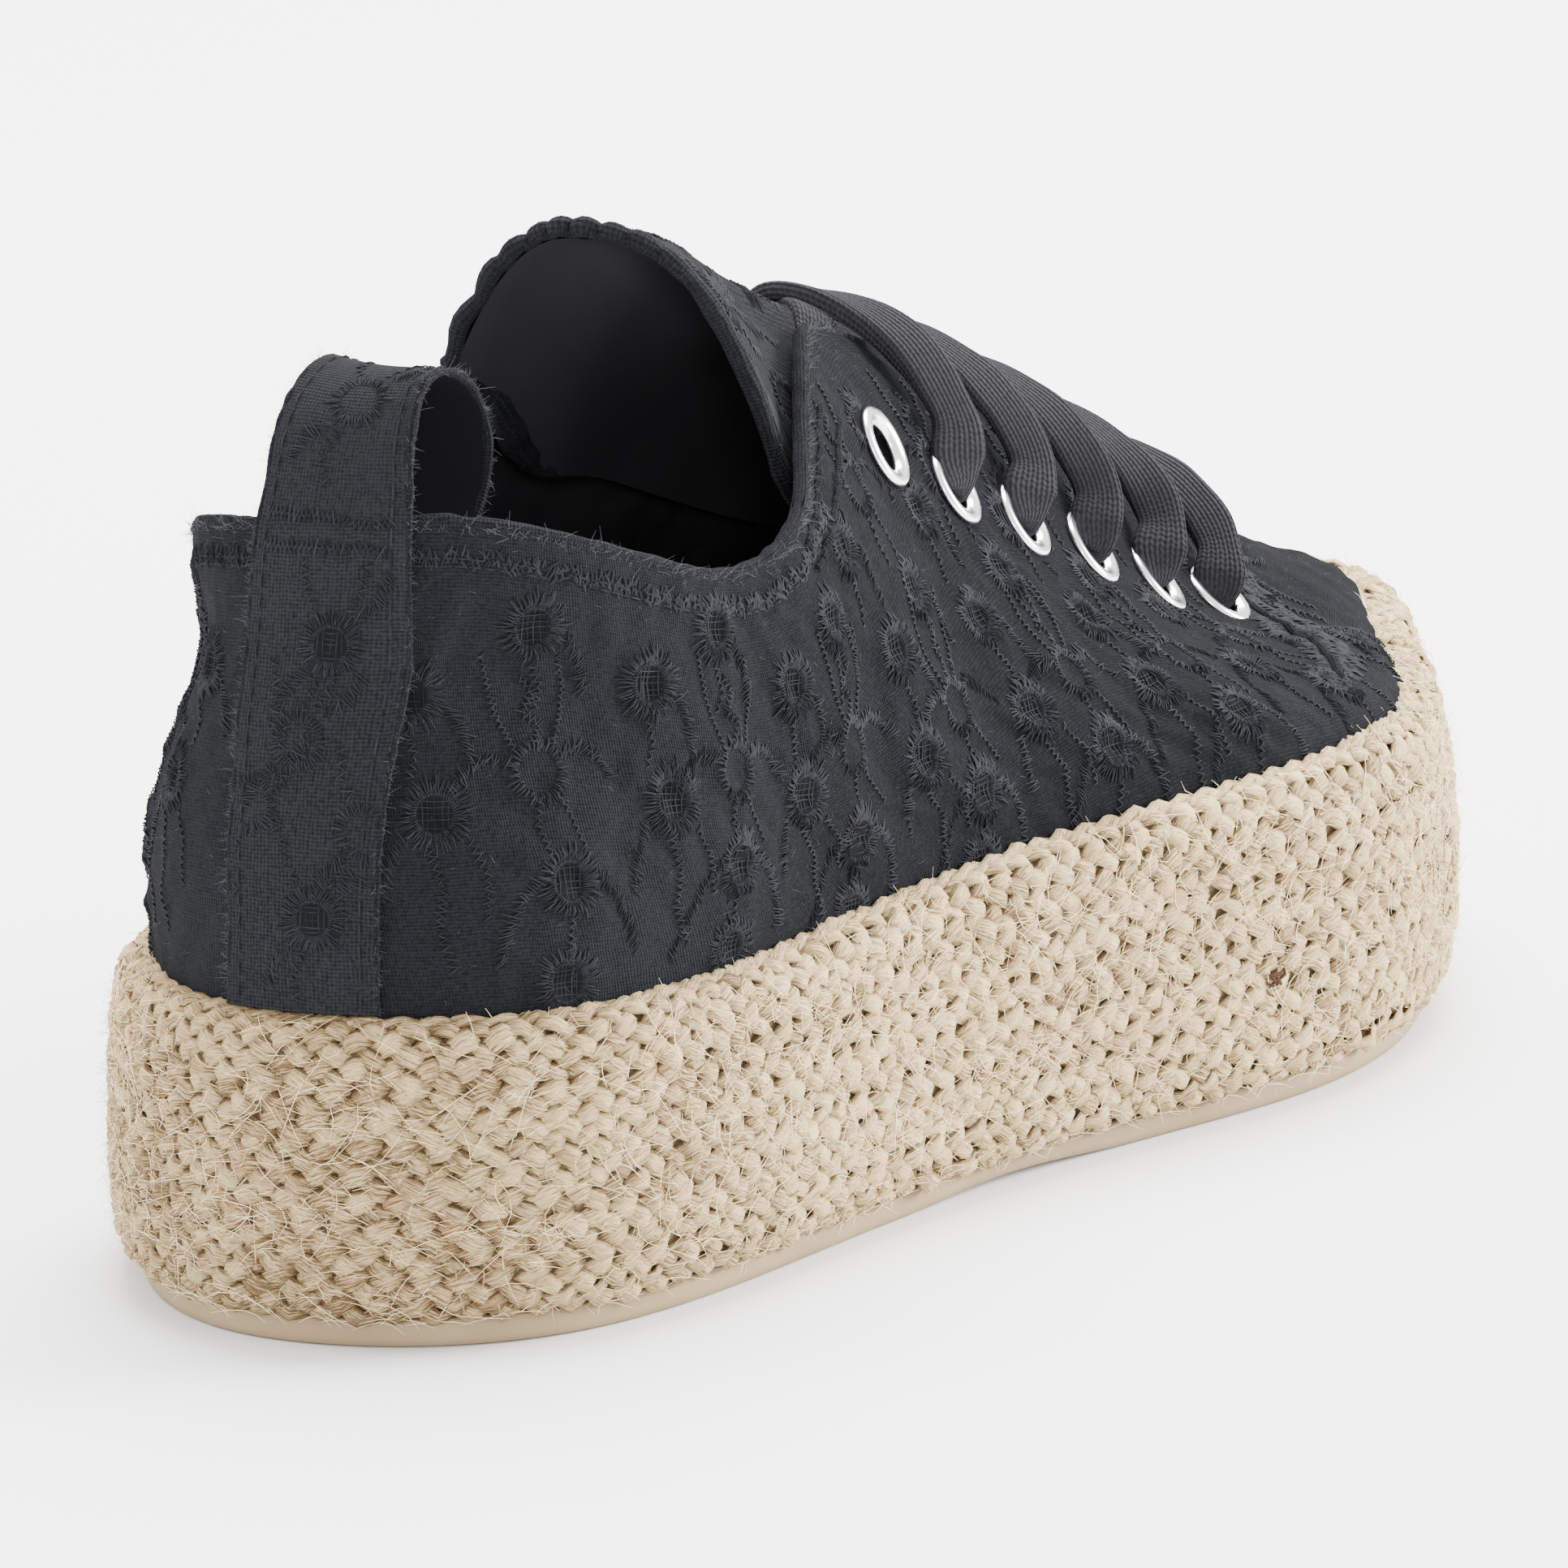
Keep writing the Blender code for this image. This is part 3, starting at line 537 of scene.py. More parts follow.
def cotton(name, dark, light, rise=0.0):
    """Plain weave with a little lint, and painted shade and light: darker towards the toe and round
    the waist; rise paints it paler towards the top.
    """
    m = Material(name, 1.0, sheen=0.012, specular=0.02)
    wobble = m.place.noise(300.0) * 9.0
    warp, weft = ((m.uv.part(axis) * WEAVE + wobble).sine() * 0.6 for axis in (0, 1))
    weave = warp + weft
    slub = m.uv.grain(500, 2600, 3.0)
    lint = ((m.place.noise(2600.0) - 0.62) * 6.0).clamp()
    x, z = m.place.part(0), m.place.part(2)
    # Painted shade: darker round the waist here, and through the x term below darker towards the
    # toe
    waist = (1.0 - ((x + 0.012) * 15.0) ** 2.0).clamp()
    # The z term with rise is painted light, paler towards the top
    shade = (m.place.noise(45.0, 3.0) * 0.7 + slub * 0.7 + m.place.noise(2300.0, 1.0) * 1.6 - 1.03
             + weave * 0.35 - x * 1.9 + lint * 0.9 - waist * 0.24 + (z - 0.075) * rise).clamp()
    height = weave * 0.5 + slub * 1.2 + m.place.noise(900.0, 3.0)
    return m.made(shade.between(dark, light), height, 0.6)


def satin(name, dark, light):
    """Shiny embroidery thread, grain along its length."""
    m = Material(name, 0.8, sheen=0.01, specular=0.04)
    grain = m.uv.grain(900, 9000)
    shade = (m.tone() * 0.8 + grain * 0.5 - 0.15).clamp()
    return m.made(shade.between(dark, light), grain, 0.4, 0.0001)


def plain(name, colour, roughness, metallic=0.0, specular=0.5):
    return Material(name, roughness, metallic, specular=specular).made(colour)


def lining(name, inner, outer):
    """Dark plain lining with painted light: paler on the outer side, where no lamp light comes in.
    """
    m = Material(name, 1.0, specular=0.0)
    # Painted light: the share of the paler grey grows towards the outer side
    share = (0.3 - m.place.part(1) * 20.0).clamp()
    return m.made(share.between(*((grey, grey, 1.12 * grey) for grey in (inner, outer))))


def jute(name):
    """Dry fibres along each strand, from pale straw to brown, with painted shade on the underside
    of each strand and at the heel.
    """
    m = Material(name, 0.85, specular=0.15)
    # Painted shade on the lower side of each strand, where it meets the next
    below = ((m.uv.part(1) * (TURN / STRAND_GIRTH) - 0.8 * math.pi).sine() + 0.30).clamp()
    # Painted shade at the heel, the side turned away from the main lamps
    heel = (m.place.part(0) * -14.0 - 1.05).clamp()
    fibre, fine = m.uv.grain(420, 5200, 4.0), m.uv.grain(900, 12000)
    cloud = m.place.noise(60.0, 3.0)
    shade = (fibre * 3.3 + fine * 1.8 + m.tone() * 1.1 + cloud * 0.5 - 2.58).clamp()
    shade = (shade - heel * 0.38 - below * 1.2).clamp()
    warm = shade.between((0.20, 0.119, 0.052), (1.0, 0.742, 0.395))
    rust = (m.uv.grain(60, 300, 1.0) * 5.0 - 3.1).clamp() * 0.6
    return m.made(rust.between(warm, (0.36, 0.17, 0.075)), fibre + fine * 0.7, 1.0, 0.0013)


def rubber(name):
    m = Material(name, 0.6, specular=0.2)
    colour = m.place.noise(70.0, 4.0).between((0.23, 0.165, 0.09), (0.33, 0.25, 0.142))
    return m.made(colour, m.place.noise(900.0, 3.0), 0.25, 0.0002)


def knit(name):
    """Ribbed knit lace: columns along it, with small stitches in each."""
    m = Material(name, 0.95, sheen=0.015, specular=0.03)
    u, v = m.uv.part(0), m.uv.part(1)
    rib = (v * 11000).sine()
    stitch = (u * 9000 + (v * 5500).sine() * 1.2).sine()
    fuzz = m.place.noise(1700.0, 3.0)
    shade = (rib * 0.18 + stitch * 0.10 + fuzz * 1.1 - 0.2).clamp()
    # The lace's colours are paler than the cloth's: painted light that makes up for the shade the
    # laces lie in
    return m.made(shade.between((0.0148, 0.0146, 0.0168), (0.0312, 0.0306, 0.034)),
                  rib * 0.5 + stitch * 0.3 + fuzz * 1.2, 0.7)


CLOTH = cotton("black cotton", (0.0036, 0.0040, 0.0049), (0.0112, 0.0121, 0.0142))
THREAD = satin("embroidery thread", (0.0066, 0.0073, 0.0088), (0.0215, 0.0230, 0.0266))
# A paler copy of the black cotton for the strip and loop, paler still towards the top through rise:
# painted light
CLOTH_HEEL = cotton("black cotton heel", (0.0051, 0.0054, 0.0065), (0.0160, 0.0165, 0.0191), 5.0)
# A paler copy of the black cotton for the tongue: the paleness is painted sheen
CLOTH_TONGUE_SHEEN = cotton("black cotton tongue", (0.007, 0.0075, 0.0085), (0.017, 0.018, 0.0205))
LINT = plain("cotton lint", (0.075, 0.079, 0.087), 1.0, specular=0.0)
# The jute core is darker than the strands: painted shade in the gaps between them
JUTE_CORE = plain("jute core", (0.22, 0.15, 0.08), 0.95, specular=0.1)
# Painted shade for the worked holes
HOLE_SHADOW = plain("hole shadow", (0.0066, 0.0067, 0.0078), 0.95, specular=0.02)
# Black lining cloth, darker than the loop's outside: partly its own colour, partly painted shade
# inside the loop
LOOP_LINING = plain("loop lining", (0.0065, 0.0064, 0.0078), 0.95, specular=0.03)
# Each lining's second, paler grey is painted light on its outer side
TONGUE_LINING = lining("tongue lining", 0.025, 0.080)
LINING = lining("lining", 0.026, 0.060)
INSOLE = plain("insole cloth", (0.018, 0.018, 0.020), 0.95, specular=0.03)
JUTE = jute("jute plait")
HUSK = plain("dark husk", (0.05, 0.025, 0.015), 0.9, specular=0.1)
STRAY = plain("loose jute fibre", (1.0, 0.82, 0.54), 0.8, specular=0.15)
RUBBER = rubber("tan rubber")
SILVER = plain("silver eyelet", (0.86, 0.86, 0.87), 0.22, metallic=1.0)
LACE = knit("knitted lace")
print("materials:", len(bpy.data.materials))

# %% [markdown]
# ## Outsole
# A thin tan sheet under the jute: rounded edge, arch at the waist and toe spring.

# %%
# inset from the widest line and height above the tread, from the middle out
OUTSOLE_EDGE = (
    (40.0, 0.0), (12.0, 0.0), (OUTSOLE_INSET + 1.2, 0.0), (OUTSOLE_INSET + 0.35, 0.25),
    (OUTSOLE_INSET, 0.9), (OUTSOLE_INSET - 0.05, 2.6), (OUTSOLE_INSET + 0.2, 3.3),
    (OUTSOLE_INSET + 2.5, 3.6))
FLAT_INSET = 14.0           # further in than this, the sheet runs to the sole's long centre
CENTRE_LENGTH = 0.72        # length of that centre, as a share of the outline's


def outsole_underside(x):
    share = x / SOLE_LENGTH + 0.5
    waist = np.clip((share - 0.32) / 0.18, 0, 1)
    return tread_lift(x) + 0.8 * np.sin(math.pi * waist) ** 2


def place_outsole(u, v):
    rows = range(len(OUTSOLE_EDGE))
    inset, rise = interp_points(v * rows[-1], rows, OUTSOLE_EDGE).T
    edge = outline(TURN * u, np.minimum(inset, FLAT_INSET))
    centre = np.column_stack([edge[:, 0] * CENTRE_LENGTH, np.ones(len(edge))])
    part = np.clip((inset - FLAT_INSET) / (OUTSOLE_EDGE[0][0] - FLAT_INSET), 0, 1)[:, None]
    spot = edge * (1 - part) + centre * part
    return np.column_stack([spot, outsole_underside(spot[:, 0]) + rise])


outsole = patch("rubber_outsole", 300, 21, place_outsole, (650.0, 60.0), wrap=True)
bm = bmesh.new()
bm.from_mesh(outsole)
bmesh.ops.holes_fill(bm, edges=[e for e in bm.edges if e.is_boundary], sides=0)
bmesh.ops.recalc_face_normals(bm, faces=bm.faces)
bm.to_mesh(outsole)
bm.free()
finish_piece(outsole, RUBBER, "outsole", slot="outsole_rubber")

# %% [markdown]
# ## Jute platform
# Rows of a three-strand plait run around the side, over the rim and in to the cloth.
# Across one row a strand swings as a sine and dives as a sine of twice the angle,
# which is what makes the chevrons.

# %%
PLAIT_ROWS = 12
PLAIT_PITCH = 13.0          # length in which one strand swings there and back
CORD_PITCH = 9.0
STRAND_WIDE = 1.24
STRAND_HIGH = 0.62
CORE_DEPTH = 0.34


def platform_profile(angle):
    """Section of the jute at many angles, from the tread to the cloth."""
    x = outline(angle, 0.0)[:, 0]
    base, rim = OUTSOLE_THICKNESS + tread_lift(x) + GAP, rim_height(x)
    rows = (    # inset, inset at the toe, height
        (2.4, 0.0, base + 0.2), (0.9, 0.0, base + 2.2), (0.35, 0.0, base + 6.0),
        (0.2, 0.0, base + 14.0), (0.4, 0.5 * TOE_LEAN, rim - 10.0), (0.8, TOE_LEAN, rim - 5.0),
        (1.5, TOE_LEAN, rim - 2.0), (2.6, 0.4 * (TOE_LEAN + TOE_INSET), rim - 0.5),
        (4.0, 0.8 * TOE_INSET, rim + 0.1), (5.2, TOE_INSET + 1.6, rim + 0.2))
    return np.stack([np.column_stack([outline(angle, inset, toe), height])
                     for inset, toe, height in rows], 1)


profile = platform_profile(TURN * np.arange(1441) / 1440)
reach = travelled(profile)
SHARES = np.linspace(0, 1, 161)
jute_table = np.array([interp_points(SHARES * r[-1], r, p) for r, p in zip(reach, profile)])
GIRTH_AT = travelled(jute_table[:, 60])
GIRTH = GIRTH_AT[-1]
JUTE_SIDE = Chart(GIRTH_AT, SHARES, jute_table)
SIDE_HEIGHT = float(reach[:, -1].mean())
ROW_HEIGHT = SIDE_HEIGHT / PLAIT_ROWS
print("girth", round(float(GIRTH)), "mm, plait rows", round(ROW_HEIGHT, 2), "mm high")


def jute_point(along, share, lift):
    """Point of the jute's side by length around, share of the way up and lift."""
    return JUTE_SIDE.place(np.clip(along, 0, GIRTH), np.clip(share, 0, 1), lift)


def twist(pitch, along):
    """Angle of a strand that makes whole turns around the shoe."""
    return TURN * round(GIRTH / pitch) * along / GIRTH


def plait(name, rows, samples=570):
    """Strands of some rows; each row is wound on with its own start."""
    step = np.arange(samples)
    along = step / samples * GIRTH
    swing = 0.5 * ROW_HEIGHT - 0.55 * STRAND_HIGH
    strands = []
    for row in rows:
        start = dice.uniform(0, TURN)
        drift = wander(1, samples, 30, 0.5)[0] * np.sin(math.pi * step / samples) ** 0.2
        for strand in range(3):
            phase = twist(PLAIT_PITCH, along) + TURN * strand / 3 + start + drift
            rough = wander(3, samples, 7) * np.minimum(1, np.minimum(step, step[::-1]) / 20)
            across = swing * np.sin(phase) + 0.22 * rough[0]
            dive = 0.90 * np.sin(2 * phase) + 0.22 * rough[1] - 0.35
            path, up = jute_point(along, (row + 0.5 + across / ROW_HEIGHT) / PLAIT_ROWS, dive)
            leaf = 1 + 0.20 * np.sin(2 * phase)
            # The tone falls where a strand dives: painted shade in the deeper parts of the plait
            strands.append((path, up, STRAND_WIDE * leaf * (1 + 0.12 * rough[2]),
                            STRAND_HIGH * (1 - 0.08 * rough[2]),
                            np.clip(0.45 + 0.20 * wander(1, samples, 12)[0] + 0.30 * dive, 0, 1)))
    paths, ups, wide, high, tone = (np.array(part) for part in zip(*strands))
    finish_piece(tubes(name, paths, ups, wide, high, 5, tone=tone, closed=True), JUTE,
                 slot="jute_braid")


plait("jute_plait_low", range(0, 4))
plait("jute_plait_middle", range(4, 8))
plait("jute_plait_high", range(8, PLAIT_ROWS))
core = patch("jute_core", 240, 16, lambda u, v: jute_point(u * GIRTH, v, -CORE_DEPTH)[0],
             (650.0, 38.0), wrap=True)
finish_piece(core, JUTE_CORE, "jute_platform", slot="jute_braid")


# Two twisted strands finish the rim against the cloth.
along = np.arange(500) / 500 * GIRTH
phase = twist(CORD_PITCH, along) + TURN * np.arange(2)[:, None] / 2
share = 0.975 + 0.55 * np.sin(phase) / SIDE_HEIGHT
paths, ups = jute_point(along, share, 0.1 + 0.4 * np.cos(phase))
tone = np.clip(0.5 + 0.2 * wander(2, len(along), 12), 0, 1)
finish_piece(tubes("jute_rim_cord", paths, ups, 0.95, 0.8, 5, tone=tone, closed=True), JUTE,
             slot="jute_braid")

# %% [markdown]
# ## Loose jute
# Broken strands and fine fibres lie on the plaits with lifted ends, and one dark husk
# is caught in them.

# %%
def stray_fibres(name, count, longest, stand, thick, material, high):
    """Loose fibres that lie on the plaits, bent and with lifted ends."""
    s = dice.uniform(0, GIRTH, count)[:, None]
    share = dice.uniform(0.02, high, count)[:, None]
    length = dice.uniform(0.25, 1.0, (count, 1)) * longest
    way = dice.normal(0, 0.75, (count, 1)) + math.pi * dice.integers(0, 2, (count, 1))
    at = np.linspace(-0.5, 0.5, 5)
    angle = way + dice.normal(0, 1.0, (count, 1)) * at
    ds, dv = (np.cumsum(wave(angle), 1) * length / len(at) for wave in (np.cos, np.sin))
    lift = 0.75 + stand * dice.uniform(0, 1, (count, 1)) * (2 * np.abs(at)) ** 2
    path, up = jute_point((s + ds) % GIRTH, share + dv / SIDE_HEIGHT, lift)
    whole = np.linalg.norm(np.diff(path, axis=1), axis=2).max(1) <= 4
    path, up = path[whole], up[whole]       # without those that jump from end to end of the chart
    size = thick * np.array([0.4, 1.0, 1.0, 0.9, 0.3])
    tone = dice.uniform(0.5, 1.0, (len(path), 1))
    finish_piece(tubes(name, path, up, size, size, 3, tone=tone * np.ones(len(at))), material,
                 slot="jute_braid")


stray_fibres("jute_loose_strands", 1500, 9.0, 0.6, 0.12, JUTE, 0.88)
stray_fibres("jute_stray_fibres", 3700, 15.0, 1.9, 0.040, STRAY, 0.90)


def husk(spot, count=9):
    """A dark bit of husk caught in the plait."""
    i, j = JUTE_SIDE.nearest(spot)
    part = np.linspace(-1, 1, 3)
    along = GIRTH_AT[i] + dice.normal(0, 0.5, (count, 1)) + part * dice.normal(0, 0.7, (count, 1))
    share = SHARES[j] + dice.normal(0, 0.012, (count, 1)) + part * dice.normal(0, 0.012, (count, 1))
    path, up = jute_point(along, share, 1.4 - 0.5 * part ** 2)
    finish_piece(tubes("jute_husk", path, up, 0.26, 0.16, 5), HUSK, slot="jute_braid")


husk((20.0, -46.5, 17.5))

# %% [markdown]
# ## Upper: one cloth surface
# Ribs climb from the sole to the top edge, as in the CAD part. The cloth is charted
# flat, with s along the shoe from the heel's middle (outer side positive) and t up
# from the tray, so that creases and embroidery are placed in millimetres of cloth.

# %%
def rib_points(row):
    """Points of one rib above the sole, with one more between its line and its edge."""
    points = [(x, half, float(roof(x, half)) if z is None else z)
              for x, half, z in (row[1:4], row[4:7], row[7:10])]
    x, half, z = np.mean(points[1:], axis=0)
    points.insert(2, (x, half, float(roof(x, half)) if row[9] is None else z))
    return points


def build_rib_curves():
    ribs = [(row, -1) for row in RIBS] + [(row, 1) for row in reversed(RIBS[1:-1])]
    angles, levels = [], ([], [], [], [])
    for index, (row, side) in enumerate(ribs):
        angle = share_angle(row[0])
        angles.append((TURN - angle if side == 1 else angle) - TURN * index / len(ribs))
        for level, (x, half, z) in zip(levels, rib_points(row)):
            if level is levels[-1] and x < FIRST_EYELET_X:
                z -= side * half * COLLAR_TILT * min(1.0, (FIRST_EYELET_X - x) / 80.0)
            level.append((x, float(middle(x)) + side * half, z))
    return len(ribs), closed_spline(angles), [closed_spline(level) for level in levels]


RIB_COUNT, RIB_ANGLE, RIB_LEVELS = build_rib_curves()


def rib_points_at(at, heights):
    """Points up each rib, at shares of its length: an array (ribs, heights, 3)."""
    angle = RIB_ANGLE(at)[:, 0] + TURN * (at % RIB_COUNT) / RIB_COUNT
    foot = outline(angle, UPPER_INSET, TOE_INSET)
    base = rim_height(foot[:, 0]) - TRAY_DEPTH + GAP
    knots = [np.column_stack([foot, base + rise]) for rise in (0, TRAY_DEPTH + 1)]
    knots = np.stack(knots + [level(at) for level in RIB_LEVELS], 1)
    return np.array([natural_spline(reach / reach[-1], points)(heights)
                     for reach, points in zip(travelled(knots, 0.75), knots)])


# Soft folds of the quarters and the vamp: s, t, length, width, lean in degrees from
# upright, depth (a ridge is negative)
FOLDS = (
    (48.0, 30.0, 34.0, 6.0, 8.0, 0.5), (66.0, 34.0, 40.0, 7.0, -6.0, -0.5),
    (84.0, 34.0, 36.0, 5.0, 4.0, 0.6), (98.0, 38.0, 30.0, 5.0, -10.0, -0.6),
    (108.0, 34.0, 30.0, 4.0, -14.0, 0.6), (122.0, 40.0, 34.0, 5.0, -18.0, -0.6),
    (133.0, 34.0, 30.0, 4.5, -24.0, 0.7), (146.0, 30.0, 30.0, 5.0, -28.0, -0.6),
    (160.0, 28.0, 26.0, 4.5, -34.0, 0.7), (176.0, 26.0, 24.0, 5.0, -40.0, -0.5),
    (20.0, 28.0, 26.0, 6.0, 10.0, 0.4), (205.0, 24.0, 22.0, 4.0, -62.0, 0.35),
    (222.0, 22.0, 22.0, 4.0, -66.0, -0.35), (240.0, 20.0, 24.0, 4.0, -72.0, 0.35))


def fold_depth(s, t):
    """Inward push of the cloth; the inner side has its own slightly shifted folds."""
    depth = np.zeros(t.shape)
    for at, height, length, width, lean, deep in FOLDS:
        a = math.radians(lean)
        for side, shift in ((1, 0.0), (-1, 7.0)):
            ds, dt = side * s - at - shift, t - height
            across = ds * math.cos(a) + dt * math.sin(a)
            along = -ds * math.sin(a) + dt * math.cos(a)
            depth += deep * np.exp(-(across / width) ** 2 - (along / (0.6 * length)) ** 2)
    return depth


def build_upper_chart(ribs=760, heights=130, step=0.5):
    at = np.linspace(-RIB_COUNT / 2, RIB_COUNT / 2, ribs)
    share = np.linspace(0, 1, heights)
    surface = rib_points_at(at, share)
    s = travelled(surface[:, int(0.3 * heights)])
    s -= np.interp(0.0, at, s)
    t = travelled(surface)
    folds = fold_depth(s[:, None], t) * smooth_step(t, 8, 16)
    surface = Chart(s, share, surface).raised(-folds).points
    top = t[:, -1]
    levels = np.arange(0, top.max() + step, step)
    table = np.array([interp_points(levels, row, points) for row, points in zip(t, surface)])
    over = np.maximum(levels[None] - top[:, None], 0)[..., None]
    return s, top, Chart(s, levels, table + over * unit(surface[:, -1] - surface[:, -2])[:, None])


RIB_S, COLLAR_T, UPPER = build_upper_chart()
CLOTH_MIDDLE = 40.0         # height at which places along the shoe are looked up


def collar_t(s):
    return np.interp(s, RIB_S, COLLAR_T)


def x_to_s(x, t, side):
    """Length along the shoe at which the cloth at height t passes over x."""
    s = RIB_S[RIB_S * side >= 0]
    over = UPPER.place(s, t)[0][:, 0]
    order = np.argsort(over)
    return float(np.interp(x, over[order], s[order]))


def cloth_under(x, y, reach=0.5, most=3.0, steps=60):
    """Chart place of the upper's outside over a place in plan, in Newton's steps."""
    side = -1 if y > float(middle(x)) else 1
    place = np.array([x_to_s(x, CLOTH_MIDDLE, side), CLOTH_MIDDLE])
    for _ in range(steps):
        here = UPPER.place(*place)[0]
        slopes = [(UPPER.place(*(place + step))[0] - here)[:2] / reach
                  for step in ((reach, 0), (0, reach))]
        move = np.linalg.solve(np.transpose(slopes), [x, y] - here[:2])
        place = place + np.clip(move, -most, most)
    return place


print("cloth:", round(RIB_S[-1] - RIB_S[0]), "mm around,", round(COLLAR_T.max()), "mm high at most")

# %% [markdown]
# ## Relief of the cloth
# Two columns of flowers repeat along the shoe and sink a little towards the toe. The
# cloth puckers around each flower, dips in its hole and lies smooth at the eyelets.

# %%
REPEAT = 27.2
SINK = 0.045
LOWEST_FLOWER = 8.0
BELOW_COLLAR = 5.5
HOLE_RADIUS = 2.4
EYELET_HOLE = 3.6           # the outer cloth and the lining are cut away so far out
EYELET_CLEAR = 5.6          # and stitches end so far out
FIRST_COLUMN_X = -121.5
LAST_COLUMN_X = 96.0
# height above the tray and kind of each flower, for the two columns of the repeat
COLUMNS = (
    ((76.0, "open"), (62.0, "open"), (47.0, "open"), (33.0, "open")),
    ((68.0, "plain"), (53.5, "open"), (37.5, "plain"), (24.5, "open"), (12.5, "open")))


def lay_flowers(side):
    flowers = []
    for k in range(int((LAST_COLUMN_X - FIRST_COLUMN_X) / (REPEAT / 2)) + 1):
        x = FIRST_COLUMN_X + k * REPEAT / 2
        for t, kind in COLUMNS[k % 2]:
            t = t - SINK * (x - FIRST_COLUMN_X) + dice.normal(0, 0.4)
            shift = 0.0 if k % 2 == 0 or t > 45 else -2.2
            s = x_to_s(x, min(t, CLOTH_MIDDLE), side) + side * shift + dice.normal(0, 0.4)
            if LOWEST_FLOWER < t < collar_t(s) - BELOW_COLLAR:
                flowers.append((s, t, kind))
    return flowers


def relief(s, t, flowers):
    """Puckers of the embroidered cloth: rings round the flowers, dips in the holes."""
    height = np.zeros(np.broadcast_shapes(s.shape, t.shape))
    for _ in range(90):
        long_wave, short_wave = dice.uniform(5, 24), dice.uniform(2.2, 9.0)
        turn = dice.choice([-1, 1]) * t / long_wave + s / short_wave
        height += 0.003 * short_wave * np.sin(TURN * turn + dice.uniform(0, 6.3))
    for at_s, at_t, kind in flowers:
        near = np.abs(s[:, 0] - at_s) < 12
        apart = np.hypot(s[near] - at_s, t - at_t)
        height[near] += 0.36 * np.exp(-((apart - 3.5) / 1.4) ** 2)
        if kind == "open":
            height[near] -= 0.60 * np.exp(-(apart / 2.1) ** 2)
    return height


FLOWERS = {side: lay_flowers(side) for side in (1, -1)}
EYELETS = [{"side": side, "number": number, "x": FIRST_EYELET_X + number * EYELET_PITCH}
           for side in (-1, 1) for number in range(EYELET_COUNT)]
for eyelet in EYELETS:
    eyelet["y"] = float(middle(eyelet["x"])) + eyelet["side"] * EYELET_ROW
swell = relief(RIB_S[:, None], UPPER.t[None], FLOWERS[1] + FLOWERS[-1])
swell *= smooth_step(UPPER.t, 5, 12)
swell *= 1 - smooth_step(UPPER.t[None], COLLAR_T[:, None] - 3, COLLAR_T[:, None])
swell *= smooth_step(RIB_S[-1] - np.abs(RIB_S), 0, 6)[:, None]
for eyelet in EYELETS:
    spot = (eyelet["x"], eyelet["y"], roof(eyelet["x"], EYELET_ROW))
    swell *= smooth_step(np.linalg.norm(UPPER.points - spot, axis=2), 4.5, 8)
UPPER = UPPER.raised(swell)
for eyelet in EYELETS:
    eyelet["point"], eyelet["normal"] = UPPER.place(*cloth_under(eyelet["x"], eyelet["y"]))
EYELET_POINTS = np.array([eyelet["point"] for eyelet in EYELETS])
print("flowers:", len(FLOWERS[1]), "outside and", len(FLOWERS[-1]), "inside")

# %% [markdown]
# ## Outer cloth, lining and collar edge
# The outer cloth is a fine grid over the chart, with the eyelets punched out. The
# lining lies a wall's thickness inside it and a rolled edge closes the two.

# %%
def punched(point):
    return np.min(np.linalg.norm(EYELET_POINTS - point, axis=1)) < EYELET_HOLE


def place_cloth(lift):
    def place(u, v):
        s = np.interp(u, np.linspace(0, 1, len(RIB_S)), RIB_S)
        point = UPPER.place(s, v * collar_t(s), lift)[0]
        if lift < 0:
            point[:, 2] = np.maximum(point[:, 2], rim_height(point[:, 0]) - TRAY_DEPTH + 1)
        return point
    return place


CLOTH_SIZE = (680.0, 70.0)
finish_piece(patch("outer_cloth", 520, 86, place_cloth(0.0), CLOTH_SIZE, wrap=True, hole=punched),
             CLOTH, "upper")
finish_piece(patch("inner_lining", 240, 32, place_cloth(-UPPER_WALL + 0.2), CLOTH_SIZE, wrap=True,
                   hole=punched, inward=True), LINING)

s = np.linspace(RIB_S[0], RIB_S[-1], 900, endpoint=False)
path, up = UPPER.place(s, collar_t(s) - 0.4, -0.8)
rough = 1 + 0.10 * wander(1, len(s), 4)[0]
finish_piece(tubes("collar_edge", path, up, 0.86 * rough, 0.946 * rough, closed=True), CLOTH)


def place_insole(u, v):
    edge = outline(TURN * u, UPPER_INSET + UPPER_WALL + 1.0, TOE_INSET)
    centre = np.column_stack([edge[:, 0] * CENTRE_LENGTH, np.zeros(len(u))])
    spot = edge * v[:, None] + centre * (1 - v)[:, None]
    sink = 0.8 * smooth_step(1 - v, 0, 0.5)
    return np.column_stack([spot, rim_height(spot[:, 0]) - TRAY_DEPTH + 4.2 - sink])


finish_piece(patch("cloth_insole", 160, 12, place_insole, (500.0, 90.0), wrap=True), INSOLE,
             "insole", slot="insole_cloth")

# %% [markdown]
# ## Embroidery
# Every mark is a stitch: a short thread that starts in the cloth, stands up in its
# middle and goes back in. Flowers are rings of stitches around a worked hole, stems
# and leaves are zigzags along a line, garlands are rows of long and short stitches.

